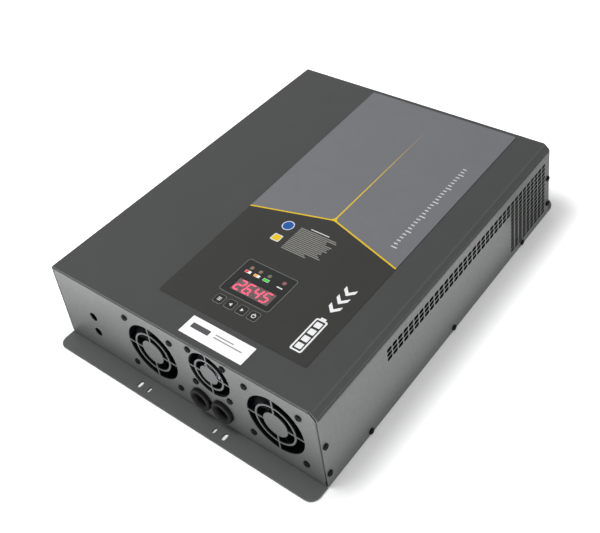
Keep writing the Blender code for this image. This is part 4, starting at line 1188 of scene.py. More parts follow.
@dataclass
class Cover:
    """One sheet folded over the top and both sides, with the vent grid on its right side and painted shade along its
    right bend.
    """

    half_width: float = 200.0
    height: float = 112.0
    end: float = 246.0
    ground: float = 0.5
    sheet: float = 1.0
    bend_right: float = 4.6
    strip_right: float = 6.5
    bend_left: float = 3.6
    vent_last: float = 228.9
    vent_pitch: float = 10.4
    vent_columns: int = 35
    vent_top: float = 88.2
    vent_drop: float = 6.3
    vent_length: float = 9.0
    vent_height: float = 4.9
    vent_rows: int = 3
    block_columns: int = 9
    block_rows: int = 13
    window: tuple = (38.6, -152.0, 56.0, 20.0)
    lamp_line: float = -124.7
    screws: tuple = (
        (-240.8, 61.0),
        (-240.8, 19.0),
        (240.8, 61.0),
        (240.8, 19.0),
        (-170.0, 5.6),
        (0.0, 5.6),
        (170.0, 5.6),
    )
    screw_hole: float = 2.3
    # Bands of painted shade along the right bend, as (distance before the lower fold's end, width, slot): slot 1 is
    # dark shade in the fold, slot 2 darker coat on the slanted strip and the side's top.
    painted_shade_bands: tuple = ((0.6, 1.08, 1), (1.8, 1.08, 1), (3.01, 1.1, 2), (6.86, 6.4, 2), (-1.0, 1.9, 2))
    painted_shade_clear: float = 0.7
    painted_shade_corner: float = 0.3
    label: tuple = (51.0, -225.5, 90.0, 25.0, 0.8, 4)
    label_sheet: float = 0.14
    label_gap: float = 0.02
    label_sign: tuple = (26.0, -224.0, 26.0, 7.0, 1.0, 4)
    label_lines: tuple = ((-221.5, 26.0), (-225.3, 40.0))
    label_left: float = 46.0

    def down_right(self, z: float | Array) -> float | Array:
        """Place along the pattern of a height on the right side."""
        setback = self.setback_right
        length = self.bend_right * math.pi / 2 + self.strip_right
        return self.half_width - setback + length + (self.height - setback - z)

    @property
    def setback_right(self) -> float:
        """How far the right bend reaches in from the side and down from the top."""
        return self.bend_right + self.strip_right * math.sqrt(0.5)

    def down_left(self, z: float) -> float:
        """Place along the pattern of a height on the left side."""
        bend = self.bend_left
        return -(self.half_width - bend + bend * math.pi / 2 + (self.height - bend - z))

    def vents(self) -> list[Array]:
        """Slots with round ends: a few rows all along, and a deep block at the back.

        Returns:
            The slots' outlines on the pattern.
        """
        column, row = np.meshgrid(np.arange(self.vent_columns), np.arange(self.block_rows), indexing="ij")
        kept = (row < self.vent_rows) | (column < self.block_columns)
        y = self.vent_last - column[kept] * self.vent_pitch
        u = self.down_right(self.vent_top - row[kept] * self.vent_drop)
        slot = block(0, 0, self.vent_height, self.vent_length, self.vent_height / 2 - 0.01, 6)
        centres = np.column_stack((u, y))
        return list(slot[None, :, :] + centres[:, None, :])

    def build(self) -> list[bpy.types.Object]:
        """Makes the cover sheet and the plain label on it.

        Returns:
            Both objects.
        """
        right, left = self.down_right(self.ground), self.down_left(self.ground)
        outline = block((right + left) / 2, 0, right - left, 2 * self.end, 1.2, 4)
        x, y, width, depth = self.window
        holes = [block(x, y, width, depth, 1.0, 4)]
        holes += [circle(key, KEY_LINE, 4.0, 32) for key in KEYS]
        holes += [circle(lamp, self.lamp_line, 2.5, 24) for lamp in LAMPS]
        holes += self.vents()
        for y, z in self.screws:
            holes += [circle(down(z), y, self.screw_hole, 20) for down in (self.down_right, self.down_left)]
        # Painted shade along the right bend: a dark band in the lower fold, and darker coat on the slanted strip and
        # the side's top.
        fold = self.half_width - self.setback_right + math.pi / 2 * self.bend_right + self.strip_right
        length = 2 * self.end - 2 * self.painted_shade_clear
        painted_shades = [
            Mark(block(fold - down, 0, width, length, self.painted_shade_corner, 2), slot=slot)
            for down, width, slot in self.painted_shade_bands
        ]
        sheet = Sheet(
            outline,
            self.sheet,
            holes,
            Place((0, 0, self.height)),
            across=Bend(
                self.bend_left - self.half_width,
                self.half_width - self.setback_right,
                self.bend_left,
                self.bend_right,
                self.strip_right,
                3,
            ),
            rim=0.15,
            marks=painted_shades,
        )
        finishes = [Finishes.COAT, Finishes.CREASE_PAINTED_SHADE, Finishes.STRIP_PAINTED_SHADE]
        shell = dressed(sheet.build(), "cover_sheet", "case", finishes, ("top_cover",))
        marks = [tile(srgb(70, 70, 72), *self.label_sign)]
        for y, length in self.label_lines:
            marks.append(tile(srgb(140, 140, 142), self.label_left + length / 2, y, length, 1.6, 0.4, 3))
        place = Place((0, 0, self.height + self.label_gap + self.label_sheet))
        label = Sheet(
            block(*self.label), self.label_sheet, place=place, rim=0.05, marks=marks, ground=srgb(240, 240, 241)
        )
        return [shell, dressed(label.build(), "plain_label", "case", [Finishes.LABEL])]


# ---------------------------------------------------------------- overlay and display


@dataclass
class Overlay:
    """Printed film on the cover, with its window, keys, lamps and plain marks."""

    front: float = -205.5
    back: float = 240.5
    right: float = 155.5
    left_front: float = -57.2
    left_back: float = -71.6
    corner: float = 3.0
    top: float = 112.5
    film: float = 0.2
    emboss: float = 0.17
    node: tuple = (46.1, -11.6)
    line_left: tuple = (-63.4, -41.5)
    line_right: tuple = (155.1, -42.5)
    line_fades: tuple = (45.9, 197.0)
    line_width: float = 2.0
    frame: tuple = (37.25, -141.5, 73.5, 55.0)
    window: tuple = (38.6, -152.0, 55.0, 19.8)
    key_size: float = 13.4
    key_corner: float = 3.0
    dark: Colour = srgb(47, 47, 45)
    grey: Colour = srgb(106, 107, 111)
    yellow: Colour = srgb(214, 180, 20)
    black: Colour = srgb(32, 33, 33)
    outline_grey: Colour = srgb(106, 108, 106)
    white: Colour = srgb(222, 223, 224)
    pale: Colour = srgb(215, 216, 216)
    sign_rim: Colour = srgb(205, 206, 222)
    lamp_line: float = -124.9
    lamp_colours: tuple = (srgb(128, 108, 88), srgb(128, 104, 90), srgb(104, 104, 92), srgb(140, 92, 100))
    flag_line: float = -131.9
    flags: tuple = ((13.3, srgb(225, 40, 60)), (26.5, srgb(250, 165, 30)), (40.1, srgb(60, 190, 60)))
    round_sign: tuple = (3.3, -47.1)
    square_sign: tuple = (4.4, -70.6)
    text_left: float = 19.6
    text_width: float = 54.5
    text_line: float = -42.6
    text_pitch: float = 2.72
    text: tuple = (0.96, 1.0, 0.78, 0.80, 0.98, 0.95, 0.93, 0.97, 0.88, 0.90, 0.84, 0.90, 0.97, 0.60, 0.66)
    battery_line: float = 131.5
    battery_width: float = 15.5
    battery_ends: tuple = (-194.0, -146.0)
    arrow_tips: tuple = (-133.0, -119.0, -105.0)
    tick_left: float = 129.6
    tick_first: float = -14.0
    tick_pitch: float = 6.0

    def outline(self) -> Array:
        """The film's outline, wider at the back."""
        front, back = (self.right, self.front), (self.right, self.back)
        return rounded([(self.left_front, self.front), front, back, (self.left_back, self.back)], self.corner, 6)

    def left_at(self, y: float) -> float:
        """The film's left edge at a place along the case."""
        share = (y - self.front) / (self.back - self.front)
        return self.left_front + share * (self.left_back - self.left_front)

    def fields(self) -> list[Mark]:
        """The grey field behind the yellow lines, the lines with their node, and the line that fades out.

        Returns:
            The marks, in the order of printing.
        """
        edge = 0.35
        grey = [
            (self.left_at(self.line_left[1]) + edge, self.line_left[1]),
            self.node,
            (self.right - edge, self.line_right[1]),
            (self.right - edge, self.back - edge),
            (self.left_back + edge, self.back - edge),
        ]
        marks = [Mark(rounded(grey, [0, 0, 0, 2.6, 2.6], 5), self.grey)]
        steps = 26
        a, b = np.array(self.node), np.array(self.line_fades)
        shares = np.linspace(0, 1, steps + 1)
        for first, last in zip(shares[:-1], shares[1:]):
            fade = np.clip((first - 0.30) / 0.70, 0, 1) ** 0.8
            width = self.line_width * (1 - 0.45 * first)
            colour = tuple((1 - fade) * y + fade * g for y, g in zip(self.yellow, self.grey))
            marks.append(Mark(bar(a + first * (b - a), a + last * (b - a), width, width * 0.985), colour))
        lines = bar(self.line_left, self.node, self.line_width), bar(self.node, self.line_right, self.line_width)
        return marks + [Mark(loop, self.yellow) for loop in (*lines, self.knot())]

    def knot(self) -> Array:
        """Rounded joint of the three lines: between two lines the edge is a curve drawn in towards the node.

        Returns:
            The joint's outline.
        """
        ends = [np.array(p) - np.array(self.node) for p in (self.line_right, self.line_fades, self.line_left)]
        ends = [e / np.linalg.norm(e) for e in ends]
        t = np.linspace(0, 1, 8)[:, None]
        half = self.line_width / 2
        curves = []
        for this, following in zip(ends, ends[1:] + ends[:1]):
            side_this = np.array((-this[1], this[0])) * half
            side_next = np.array((following[1], -following[0])) * half
            start, end = 7.0 * this + side_this, 7.0 * following + side_next
            curves.append(curve_between(start, (this + following) * 0.9, end, t))
        return np.concatenate(curves) + np.array(self.node)

    def controls(self) -> list[Mark]:
        """Display frame, lamps with their flags, window and keys with plain icons.

        Returns:
            The marks, in the order of printing.
        """
        x, y, width, depth = self.frame
        marks = [tile(self.outline_grey, x, y, width, depth, 4.0, 6)]
        marks.append(tile(self.black, x, y, width - 1.5, depth - 1.5, 3.3, 6))
        for lamp, colour in zip(LAMPS, self.lamp_colours):
            marks.append(spot(tuple(0.45 * c for c in colour), lamp, self.lamp_line, 2.9, 24))
            marks.append(spot(colour, lamp, self.lamp_line, 2.3, 24))
        for number, (flag, colour) in enumerate(self.flags):
            rest = colour if number == 2 else self.white
            marks.append(tile(self.white, flag, self.flag_line, 8.6, 4.0, 0.5, 2))
            marks.append(tile(rest, flag + 2.0, self.flag_line, 4.2, 3.2, 0.3, 2))
            marks.append(tile(colour, flag - 1.9, self.flag_line, 4.2, 3.4, 0.3, 2))
        marks.append(tile(self.pale, 60.9, -133.1, 8.0, 1.5, 0.4, 2))
        marks.append(Mark(block(*self.window, 0.5, 3), self.black, 1))
        inner = self.key_size - 1.2
        for key in KEYS:
            marks.append(tile(self.outline_grey, key, KEY_LINE, self.key_size, self.key_size, self.key_corner))
            marks.append(tile(self.black, key, KEY_LINE, inner, inner, self.key_corner - 0.6))
        return marks + self.icons()

    def icons(self) -> list[Mark]:
        """Key icons: a short list, an arrow to each side, and a ring.

        Returns:
            The marks, in the order of printing.
        """
        first, left, right, last = KEYS
        y = KEY_LINE
        marks = [tile(self.pale, first, y + step, 5.0, 0.9, 0.2, 2) for step in (-1.8, 0.0, 1.8)]
        for key, way in ((left, -1), (right, 1)):
            points = [(key + way * 2.2, y), (key - way * 1.6, y + way * 2.3), (key - way * 1.6, y - way * 2.3)]
            marks.append(Mark(rounded(points, 0.3, 3), self.pale))
        return marks + [
            spot(self.pale, last, y, 2.9, 28),
            spot(self.black, last, y, 1.9, 24),
            tile(self.black, last, y + 2.3, 1.9, 2.2),
            tile(self.pale, last, y + 2.1, 0.9, 3.2, 0.3, 2),
        ]

    def plain_marks(self) -> list[Mark]:
        """Colour spots, grey text bars, battery pictogram with arrows, and a row of ticks.

        Returns:
            The marks, in the order of printing.
        """
        marks = [
            spot(self.sign_rim, *self.round_sign, 8.0, 36),
            spot(srgb(28, 82, 150), *self.round_sign, 6.8, 36),
            tile(self.sign_rim, *self.square_sign, 13.0, 11.6, 2.0, 4),
            tile(srgb(216, 186, 26), *self.square_sign, 10.6, 9.2, 1.2, 4),
        ]
        left = self.text_left
        for row, share in enumerate(self.text):
            end = left + self.text_width * share
            y = self.text_line - self.text_pitch * row
            marks.append(tile(srgb(128, 127, 122), (left + end) / 2, y, end - left, 1.5, 0.3, 2))
        marks.append(tile(srgb(196, 196, 192), 45.5, -38.6, 27.0, 1.5, 0.3, 2))
        return marks + self.battery() + self.ticks()

    def battery(self) -> list[Mark]:
        """Battery with four cells, and three arrows that point to it.

        Returns:
            The marks, in the order of printing.
        """
        x, height = self.battery_line, self.battery_width
        start, end = self.battery_ends
        middle, length = (start + end) / 2, end - start
        marks = [
            tile(self.white, x, middle, height, length, 2.4, 5),
            tile(self.dark, x, middle, height - 4.0, length - 4.0, 1.2, 4),
            tile(self.white, x, end + 1.4, 7.0, 3.0, 0.6, 3),
        ]
        for cell in range(4):
            marks.append(tile(self.white, x, start + 8.0 + cell * 10.6, height - 7.4, 7.6, 0.8, 3))
        for tip in self.arrow_tips:
            back, left, right = tip + 5.5, x - 7.6, x + 7.6
            low, high = tip + 7.5, tip + 13.0
            points = [(left, low), (x, tip), (right, low), (right, high), (x, back), (left, high)]
            marks.append(Mark(rounded(points, 0.5, 3), self.white))
        return marks

    def ticks(self) -> list[Mark]:
        """Row of short ticks, every fifth one longer.

        Returns:
            The marks, in the order of printing.
        """
        marks = []
        for tick in range(28):
            height = 8.0 if tick % 5 == 0 else 5.2
            x, y = self.tick_left + height / 2, self.tick_first + tick * self.tick_pitch
            marks.append(tile(srgb(196, 198, 204), x, y, height, 1.7, 0.4, 2))
        return marks

    def lift(self, pattern: Array) -> Array:
        """Height of the embossed keys: a smooth ramp 0.9 wide inside each rounded square.

        Args:
            pattern: points on the film.

        Returns:
            The height at each.
        """
        height = np.zeros(len(pattern))
        half = self.key_size / 2 - self.key_corner
        for key in KEYS:
            away = np.abs(pattern - np.array((key, KEY_LINE))) - half
            outer = np.linalg.norm(np.maximum(away, 0), axis=1) + np.minimum(away.max(axis=1), 0)
            ramp = np.clip((self.key_corner - outer) / 0.9, 0, 1)
            height = np.maximum(height, ramp * ramp * (3 - 2 * ramp))
        return height * self.emboss

    def build(self) -> bpy.types.Object:
        """Makes the film with all its print.

        Returns:
            The new object.
        """
        guides = []
        for key in KEYS:
            for step in (0.3, 0.9):
                size = self.key_size - 2 * step
                guides.append(block(key, KEY_LINE, size, size, self.key_corner - step * 0.8, 5))
        sheet = Sheet(
            self.outline(),
            self.film,
            place=Place((0, 0, self.top)),
            rim=0.08,
            marks=self.fields() + self.controls() + self.plain_marks(),
            ground=self.dark,
            guides=guides,
            relief=self.lift,
        )
        finishes = [Finishes.FILM, Finishes.WINDOW]
        return dressed(sheet.build(), "overlay_film_print", "case", finishes, ("membrane_overlay",))


@dataclass
class Display:
    """Seven-segment block behind the window, with four slanted digits."""

    centre: tuple = (38.6, -152.0)
    width: float = 54.8
    depth: float = 18.8
    low: float = 104.0
    high: float = 111.7
    pitch: float = 12.7
    digit_width: float = 8.0
    digit_height: float = 14.6
    stroke: float = 2.1
    stroke_gap: float = 0.22
    slant: float = 0.17
    shift: float = -0.8
    reading: tuple = ("2", "6.", "4", "5")
    patterns: dict = field(default_factory=lambda: {"2": "abged", "6": "afgedc", "4": "fgbc", "5": "afgcd"})

    def segments(self, x: float, figure: str) -> list[Mark]:
        """The seven strokes and the point of one digit, lit where the figure needs them.

        Args:
            x: the digit's middle.
            figure: what it shows, with a full stop if its point is lit.

        Returns:
            One mark for each stroke, and one for the point.
        """
        w, h = self.digit_width / 2, self.digit_height / 2
        ends = {
            "a": ((-w, h), (w, h)),
            "b": ((w, h), (w, 0)),
            "c": ((w, 0), (w, -h)),
            "d": ((-w, -h), (w, -h)),
            "e": ((-w, 0), (-w, -h)),
            "f": ((-w, h), (-w, 0)),
            "g": ((-w, 0), (w, 0)),
        }
        lit = self.patterns[figure[0]]
        marks = []
        for letter, (start, end) in ends.items():
            a, b = np.array(start, float), np.array(end, float)
            along = (b - a) / np.linalg.norm(b - a)
            side = np.array((along[1], -along[0])) * self.stroke / 2
            a, b = a + along * self.stroke_gap, b - along * self.stroke_gap
            short = along * self.stroke / 2
            loop = np.array((a, a + short + side, b - short + side, b, b - short - side, a + short - side))
            marks.append(self.slanted(loop, x, 1 if letter in lit else 2))
        point = circle(w + 2.1, -h, 1.05, 16)
        marks.append(self.slanted(point, x, 1 if figure.endswith(".") else 2))
        return marks

    def slanted(self, loop: Array, x: float, slot: int) -> Mark:
        """A stroke leaned over and set in its place in the block."""
        leaned = loop + np.column_stack((loop[:, 1] * self.slant, np.zeros(len(loop))))
        return Mark(leaned + np.array((x, self.centre[1])), slot=slot)

    def build(self) -> bpy.types.Object:
        """Makes the block with its digits.

        Returns:
            The new object.
        """
        marks = []
        for number, figure in enumerate(self.reading):
            marks += self.segments(self.centre[0] + self.shift + (number - 1.5) * self.pitch, figure)
        outline = block(*self.centre, self.width, self.depth, 0.6, 4)
        thickness = self.high - self.low
        sheet = Sheet(outline, thickness, place=Place((0, 0, self.high)), rim=0.3, marks=marks)
        finishes = [Finishes.DISPLAY, Finishes.LIT, Finishes.UNLIT]
        return dressed(sheet.build(), "digit_block", "case", finishes, ("seven_segment_display",))


# ---------------------------------------------------------------- fans, grommets, screws


@dataclass
class FanSet:
    """Frames, rotors and the foil on the centre hub."""

    front: float = -245.2
    depth: float = 25.0
    corner: float = 5.0
    screw_hole: float = 2.2
    strut: float = 3.4
    plate: float = 3.0
    hub_front: float = -241.7
    hub_length: float = 17.0
    blades: int = 7
    tip_gap: float = 1.0
    blade_sheet: float = 1.2
    pitch_root: float = 48.0
    pitch_tip: float = 30.0
    sweep: float = 12.0
    share: float = 0.62
    foil_lift: float = 0.16

    def frame(self, fan: Fan) -> bpy.types.Object:
        """Square frame with its round duct, screw holes, rear struts and motor plate.

        Args:
            fan: the fan's sizes.

        Returns:
            The new object.
        """
        holes = [circle(0, 0, fan.duct, 96)] + [circle(x, z, self.screw_hole, 20) for x, z in fan.screw_places()]
        place = facing_front(fan.x, self.front, fan.z)
        body = Sheet(block(0, 0, fan.size, fan.size, self.corner, 8), self.depth, holes, place, rim=0.5, rim_steps=3)
        back = facing_front(fan.x, self.front + self.depth - self.plate, fan.z)
        gaps = quarters(fan.hub, fan.duct - 0.4, self.strut, 16)
        spider = Sheet(circle(0, 0, fan.duct + 0.6, 96), self.plate - 0.3, gaps, back, rim=0.3)
        shape = Shape.joined([body.build(), spider.build()])
        return dressed(shape, f"fan_{fan.name}_housing", "case", [Finishes.PLASTIC], (f"fan_frame_{fan.name}",))

    def blade(self, fan: Fan, number: int) -> Shape:
        """One twisted, cambered blade.

        At radius r the section is a flat ellipse whose chord covers a fixed share of the blade pitch; it is
        turned by the pitch angle, bowed by a small camber, and wrapped round the axis, so that a length s across
        becomes the angle s / r.

        Args:
            fan: the fan's sizes.
            number: the blade's place round the hub.

        Returns:
            The blade's closed shape.
        """
        rows, columns = 12, 20
        t = np.linspace(0, 1, rows)[:, None]
        radius = fan.hub - 0.6 + t * (fan.duct - self.tip_gap - fan.hub + 0.6)
        pitch = np.radians(self.pitch_root + t * (self.pitch_tip - self.pitch_root))
        across = 2 * math.pi / self.blades * self.share * radius
        chord = across / np.cos(pitch)
        a = np.arange(columns)[None, :] * 2 * math.pi / columns
        s = np.cos(a) * chord / 2
        bow = 0.08 * chord * (1 - np.cos(a) ** 2)
        thick = np.sin(a) * self.blade_sheet / 2 + bow
        angle = number * 2 * math.pi / self.blades + np.radians(self.sweep) * t
        angle = angle + (s * np.cos(pitch) - thick * np.sin(pitch)) / radius
        height = -self.hub_length / 2 + (s * np.sin(pitch) + thick * np.cos(pitch)) * 0.98
        local = np.stack((radius * np.cos(angle), radius * np.sin(angle), height), axis=2).reshape(-1, 3)
        run = np.arange(columns)
        faces = ring_faces(rows, columns).tolist() + [run[::-1].tolist(), (run + (rows - 1) * columns).tolist()]
        return Shape(facing_front(fan.x, self.hub_front, fan.z).points(local), faces)

    def rotor(self, fan: Fan) -> bpy.types.Object:
        """Hub cup with its rounded front edge, and the blades.

        Args:
            fan: the fan's sizes.

        Returns:
            The new object.
        """
        hub, length = fan.hub, self.hub_length
        outer = rounded([(0, 0), (hub, 0), (hub, -length), (0, -length)], [0.0, 1.8, 0.6, 0.0], 6)
        ring = np.array([(0.0, 0.0), (hub * 0.55, 0.0), (hub * 0.6, -0.35), (hub * 0.66, -0.35), (hub * 0.7, 0.0)])
        rest = outer[outer[:, 0] > hub * 0.72]
        profile = np.concatenate((ring, rest, np.array([(hub * 0.8, -length), (0.0, -length)])))
        place = facing_front(fan.x, self.hub_front, fan.z)
        cup = turned(profile[::-1], place, 72)
        shape = Shape.joined([cup] + [self.blade(fan, number) for number in range(self.blades)])
        name, body = f"fan_{fan.name}_wheel", f"{fan.name}_rotor"
        return dressed(shape, name, body, [Finishes.PLASTIC], (f"fan_rotor_{fan.name}",))

    def build(self) -> list[bpy.types.Object]:
        """Makes all three fans.

        Returns:
            Frames, rotors and foil.
        """
        made = []
        for fan in FANS:
            made += [self.frame(fan), self.rotor(fan)]
        centre = FANS[1]
        place = facing_front(centre.x, self.hub_front - self.foil_lift, centre.z)
        foil = np.array([(0.0, -0.14), (11.0, -0.14), (11.35, -0.1), (11.4, -0.04), (11.2, 0.0), (0.0, 0.0)])
        made.append(dressed(turned(foil, place, 64), "hub_foil_disc", "centre_rotor", [Finishes.HUB_LABEL]))
        return made


@dataclass
class GrommetSet:
    """Thick rubber grommets in the front panel."""

    face: float = -247.0
    rim: float = 14.5
    proud: float = 5.5
    mouth: float = 10.5
    bore: float = 8.5
    neck: float = 10.8
    sheet: float = 1.5
    inner_rim: float = 11.7
    inner: float = 3.3
    clear: float = 0.25
    mouth_slope: float = 3.2

    def build(self) -> list[bpy.types.Object]:
        """Turns each grommet's section round its own axis.

        Returns:
            Both objects.
        """
        back, end = -self.sheet - self.clear, -self.sheet - self.inner
        section = [
            (self.bore, end),
            (self.inner_rim, end),
            (self.inner_rim, back),
            (self.neck, back),
            (self.neck, self.clear),
            (self.rim, self.clear),
            (self.rim, self.proud),
            (self.mouth, self.proud),
            (self.bore, self.proud - self.mouth_slope),
        ]
        profile = rounded(section, [0.6, 1.0, 0.3, 0.2, 0.2, 0.6, 2.3, 1.3, 1.5], 6)
        made = []
        for name, (x, z) in zip(("left", "right"), GROMMETS):
            shape = turned(profile, facing_front(x, self.face, z), 80, looped=True)
            node = f"cable_grommet_{name}"
            made.append(dressed(shape, f"grommet_{name}_rubber", "case", [Finishes.RUBBER], (node,)))
        return made


class Drive(Enum):
    """Recess of a screw head: half width of an arm, half length, and depth."""

    CROSS = (0.42, 2.1, 1.3)


@dataclass
class Screw:
    """Pan-head screw as a polar height field over a shank."""

    head: float = 3.7
    height: float = 2.2
    shank: float = 2.0
    length: float = 7.0
    drive: Drive = Drive.CROSS

    def shape(self, place: Place, spin: float) -> Shape:
        """Builds the screw with its seat on the place's origin.

        The dome's height is h * (1 - (r / R)^4 * 0.42), less the cross: its depth times smooth steps across the
        arm and along it. Below the dome's edge the side is a short profile down to the shank's end.

        Args:
            place: the seat, with the head along its third axis.
            spin: how far the cross is turned.

        Returns:
            The screw's closed shape.
        """
        rings, count = 22, 48
        share = np.linspace(0, 1, rings)[1:]
        turn = np.arange(count) * 2 * math.pi / count
        r = (share * (self.head - 0.12))[:, None]
        x, y = r * np.cos(turn), r * np.sin(turn)
        dome = self.height * (1 - 0.42 * (r / self.head) ** 4) + 0 * x
        width, reach, depth = self.drive.value
        u, v = x * math.cos(spin) + y * math.sin(spin), -x * math.sin(spin) + y * math.cos(spin)
        cut = np.zeros_like(u)
        for a, b in ((u, v), (v, u)):
            over = np.clip((width - np.abs(a)) / 0.25 + 0.5, 0, 1)
            along = np.clip((reach - np.abs(b)) / 0.9, 0, 1)
            cut = np.maximum(cut, over * over * (3 - 2 * over) * along)
        z = dome - depth * cut
        rows = np.stack((x, y, z), axis=2)
        edge = [(self.head, self.height * 0.38), (self.head, 0.25), (self.head - 0.2, 0.0)]
        side = np.array(edge + [(self.shank, 0.0), (self.shank, -self.length)])
        more = np.stack((side[:, :1] * np.cos(turn), side[:, :1] * np.sin(turn), side[:, 1:] + 0 * turn), axis=2)
        grid = np.concatenate((rows, more))
        local = grid.reshape(-1, 3)
        run, following = np.arange(count), np.roll(np.arange(count), -1)
        faces = ring_faces(len(grid), count)[:, [0, 3, 2, 1]].tolist()
        poles = np.array([(0, 0, self.height - depth), (0, 0, -self.length)], float)
        last = (len(grid) - 1) * count
        faces += np.stack((np.full(count, len(local)), run, following), axis=1).tolist()
        faces += np.stack((np.full(count, len(local) + 1), last + following, last + run), axis=1).tolist()
        return Shape(place.points(np.concatenate((local, poles))), faces)


@dataclass
class Screws:
    """Cover screws on both sides and fan screws on the front panel."""

    seat: float = 200.3
    face: float = -247.0

    def build(self, cover: Cover) -> list[bpy.types.Object]:
        """Makes every screw, each with its cross at its own angle.

        Args:
            cover: the cover, which knows where its screws are.

        Returns:
            The new objects.
        """
        pieces = []
        for side, name in ((1, "right"), (-1, "left")):
            for number, (y, z) in enumerate(cover.screws):
                place = Place((side * self.seat, y, z), (0, side, 0), (0, 0, 1))
                shape = Screw().shape(place, 0.4 + 0.9 * number)
                label, node = f"side_screw_{name}_{number + 1}", f"cover_screw_{name}_{number + 1}"
                pieces.append(dressed(shape, label, "case", [Finishes.SCREW], (node,)))
        fan_screw = Screw(head=4.0, height=2.3, shank=1.9, length=6.0)
        for fan in FANS:
            for number, (side, up) in enumerate(((-1, -1), (1, -1), (1, 1), (-1, 1))):
                x, z = fan.x + side * fan.holes / 2, fan.z + up * fan.holes / 2
                shape = fan_screw.shape(facing_front(x, self.face - 0.02, z), 0.3 + 0.7 * number)
                pieces.append(dressed(shape, f"fan_screw_{fan.name}_{number + 1}", "case", [Finishes.SCREW]))
        return pieces


@dataclass
class InnerParts:
    """Finishes of the CAD nodes that stay as they are."""

    finishes: dict = field(
        default_factory=lambda: {
            "display_board": Finishes.BOARD,
            "power_board": Finishes.BOARD,
            "switch_body": Finishes.PLASTIC,
            "key_plunger": Finishes.PLUNGER,
            "display_spacer": Finishes.NYLON,
            "board_standoff": Finishes.BRASS,
            "heatsink": Finishes.ALUMINIUM,
            "transformer_core": Finishes.FERRITE,
            "transformer_winding": Finishes.COPPER,
            "output_choke": Finishes.COPPER,
            "bulk_capacitor": Finishes.SLEEVE,
            "output_relay": Finishes.PLASTIC,
            "fuse_holder": Finishes.PLASTIC,
            "line_filter": Finishes.CAN,
            "terminal_block": Finishes.TERMINAL,
        }
    )

    def dress(self, nodes: dict) -> None:
        """Gives each node its finish in every material slot.

        Args:
            nodes: the CAD objects by name.
        """
        for name, node in nodes.items():
            material = Finishes.get(
                next((f for key, f in self.finishes.items() if name.startswith(key)), Finishes.COAT)
            )
            if not node.material_slots:
                node.data.materials.append(material)
            for slot in node.material_slots:
                slot.material = material
        log.info("dressed %d nodes", len(nodes))


# ---------------------------------------------------------------- stage, light, camera


@dataclass
class AreaLight:
    """One soft light: where it stands, where it points, its size and power."""

    name: str
    place: tuple
    target: tuple
    size: tuple
    power: float

    def build(self) -> bpy.types.Object:
        """Makes the light.

        Returns:
            The new object.
        """
        data = bpy.data.lights.new(self.name, "AREA")
        data.shape = "RECTANGLE"
        data.size, data.size_y = self.size[0] * MM, self.size[1] * MM
        data.energy = self.power
        light = bpy.data.objects.new(self.name, data)
        bpy.context.scene.collection.objects.link(light)
        forward = (Vector(self.target) - Vector(self.place)).normalized()
        above = Vector((0, 1, 0)) if abs(forward.z) > 0.99 else Vector((0, 0, 1))
        right = forward.cross(above).normalized()
        turn = Matrix((right, right.cross(forward), -forward)).transposed().to_4x4()
        light.matrix_world = Matrix.Translation(Vector(self.place) * MM) @ turn
        light.visible_camera = False
        return light


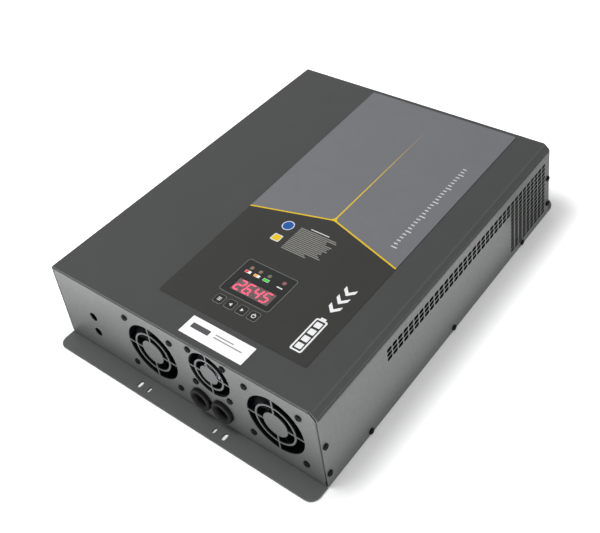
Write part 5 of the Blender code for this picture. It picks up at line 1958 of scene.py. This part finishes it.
@dataclass
class Studio:
    """Pale floor, white background and soft lights."""

    floor_half: float = 6000.0
    floor_cells: int = 8
    floor_height: float = -0.05
    floor_colour: Colour = (0.86, 0.86, 0.87)
    floor_glow: float = 0.12
    far_glow: float = 0.6
    footprint: tuple = (200.0, 250.0, 1.0)
    near: float = 8.0
    far: float = 72.0
    world_dim: float = 0.52
    lights: tuple = (
        AreaLight("front_light", (150.0, -2400.0, 170.0), (0.0, -247.0, 60.0), (2400.0, 340.0), 36.0),
        AreaLight("right_light", (2300.0, 350.0, 170.0), (200.0, 0.0, 60.0), (2400.0, 340.0), 50.0),
        AreaLight("front_glow", (0.0, -790.0, 1.0), (0.0, -790.0, 1000.0), (1300.0, 900.0), 23.5),
        AreaLight("right_glow", (365.0, -270.0, 1.0), (365.0, -270.0, 1000.0), (300.0, 940.0), 1.2),
        AreaLight("upper_light", (-380.0, -400.0, 1500.0), (0.0, 0.0, 0.0), (900.0, 1000.0), 17.0),
    )

    def floor(self) -> bpy.types.Object:
        """Flat floor, as a grid, whose colour keeps the shadow while camera rays see it near white.

        Its glow for them rises smoothly from `near` to `far` millimetres away from the case's footprint.

        Returns:
            The new object.
        """
        rows = self.floor_cells + 1
        line = np.linspace(-self.floor_half, self.floor_half, rows)
        x, y = np.meshgrid(line, line, indexing="ij")
        points = np.stack((x.ravel(), y.ravel(), np.full(x.size, self.floor_height)), axis=1)
        i, j = np.meshgrid(np.arange(self.floor_cells), np.arange(self.floor_cells), indexing="ij")
        a = (i * rows + j).ravel()
        faces = np.stack((a, a + rows, a + rows + 1, a + 1), axis=1).tolist()
        mesh = bpy.data.meshes.new("floor")
        mesh.from_pydata((points * MM).tolist(), [], faces)
        floor = bpy.data.objects.new("floor", mesh)
        bpy.context.scene.collection.objects.link(floor)
        s = Shader(bpy.data.materials.new("pale_floor"))
        reach = s.vector("ABSOLUTE", s.add("TexCoord").outputs["Object"]).outputs[0]
        past = s.vector("SUBTRACT", reach, tuple(half * MM for half in self.footprint)).outputs[0]
        far = s.vector("LENGTH", s.vector("MAXIMUM", past, (0.0, 0.0, 0.0)).outputs[0]).outputs["Value"]
        span = {"Value": far, "From Min": self.near * MM, "From Max": self.far * MM}
        span |= {"To Min": self.floor_glow, "To Max": self.far_glow}
        level = s.add("MapRange", span, interpolation_type="SMOOTHSTEP").outputs["Result"]
        glow = s.scaled(s.direct(), level)
        matte = s.add("BsdfDiffuse", {"Color": self.floor_colour}).outputs[0]
        shine = s.add("Emission", {"Color": (1.0, 1.0, 1.0), "Strength": glow}).outputs[0]
        mesh.materials.append(s.close(s.add("AddShader", {0: matte, 1: shine}).outputs[0]))
        return floor

    def world(self) -> None:
        """White to camera, gloss and glass; dim to everything else."""
        world = bpy.data.worlds.new("studio")
        s = Shader(world, "OutputWorld")
        inputs = {0: s.direct()}
        for number, strength in ((1, self.world_dim), (2, 1.0)):
            inputs[number] = s.add("Background", {"Color": (1.0, 1.0, 1.0), "Strength": strength}).outputs[0]
        s.close(s.add("MixShader", inputs).outputs[0])
        bpy.context.scene.world = world

    def build(self) -> None:
        """Makes floor, background and lights."""
        self.floor()
        self.world()
        for light in self.lights:
            light.build()
        bpy.context.scene.view_settings.view_transform = "Standard"


@dataclass
class PhotoCamera:
    """Camera that was fitted to the photograph's edges and corners."""

    place: tuple = (626.41, -656.43, 855.40)
    right: tuple = (0.795124, 0.597423, -0.104232)
    down: tuple = (0.256711, -0.487285, -0.834657)
    forward: tuple = (-0.549434, 0.636898, -0.540817)
    focal: float = 944.64
    centre: tuple = (333.34, 89.37)

    def build(self) -> bpy.types.Object:
        """Makes the camera and makes it the scene's own.

        Returns:
            The new object.
        """
        data = bpy.data.cameras.new("photo_camera")
        data.sensor_width = SENSOR
        data.sensor_fit = "HORIZONTAL"
        data.lens = self.focal / IMAGE_WIDTH * SENSOR
        data.shift_x = -(self.centre[0] - IMAGE_WIDTH / 2) / IMAGE_WIDTH
        data.shift_y = (self.centre[1] - IMAGE_HEIGHT / 2) / IMAGE_WIDTH
        data.clip_start, data.clip_end = 0.01, 100.0
        camera = bpy.data.objects.new("photo_camera", data)
        bpy.context.scene.collection.objects.link(camera)
        columns = (Vector(self.right), -Vector(self.down), -Vector(self.forward))
        turn = Matrix(columns).transposed().to_4x4()
        camera.matrix_world = Matrix.Translation(Vector(self.place) * MM) @ turn
        bpy.context.scene.camera = camera
        return camera


def corners(bounds: tuple) -> list[list[float]]:
    """Bounds as plain lists of numbers."""
    return [[float(x) for x in corner] for corner in bounds]


def main() -> None:
    """Loads the frame and builds every class in order."""
    logging.basicConfig(level=logging.INFO, format="%(name)s: %(message)s")
    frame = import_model()
    PhotoCamera().build()
    Studio().build()
    InnerParts().dress(frame["nodes"])
    BasePlate().build()
    Panel().build("front_panel", True)
    Panel().build("rear_panel", False)
    cover = Cover()
    cover.build()
    Overlay().build()
    Display().build()
    FanSet().build()
    GrommetSet().build()
    Screws().build(cover)


if __name__ == "__main__":
    main()
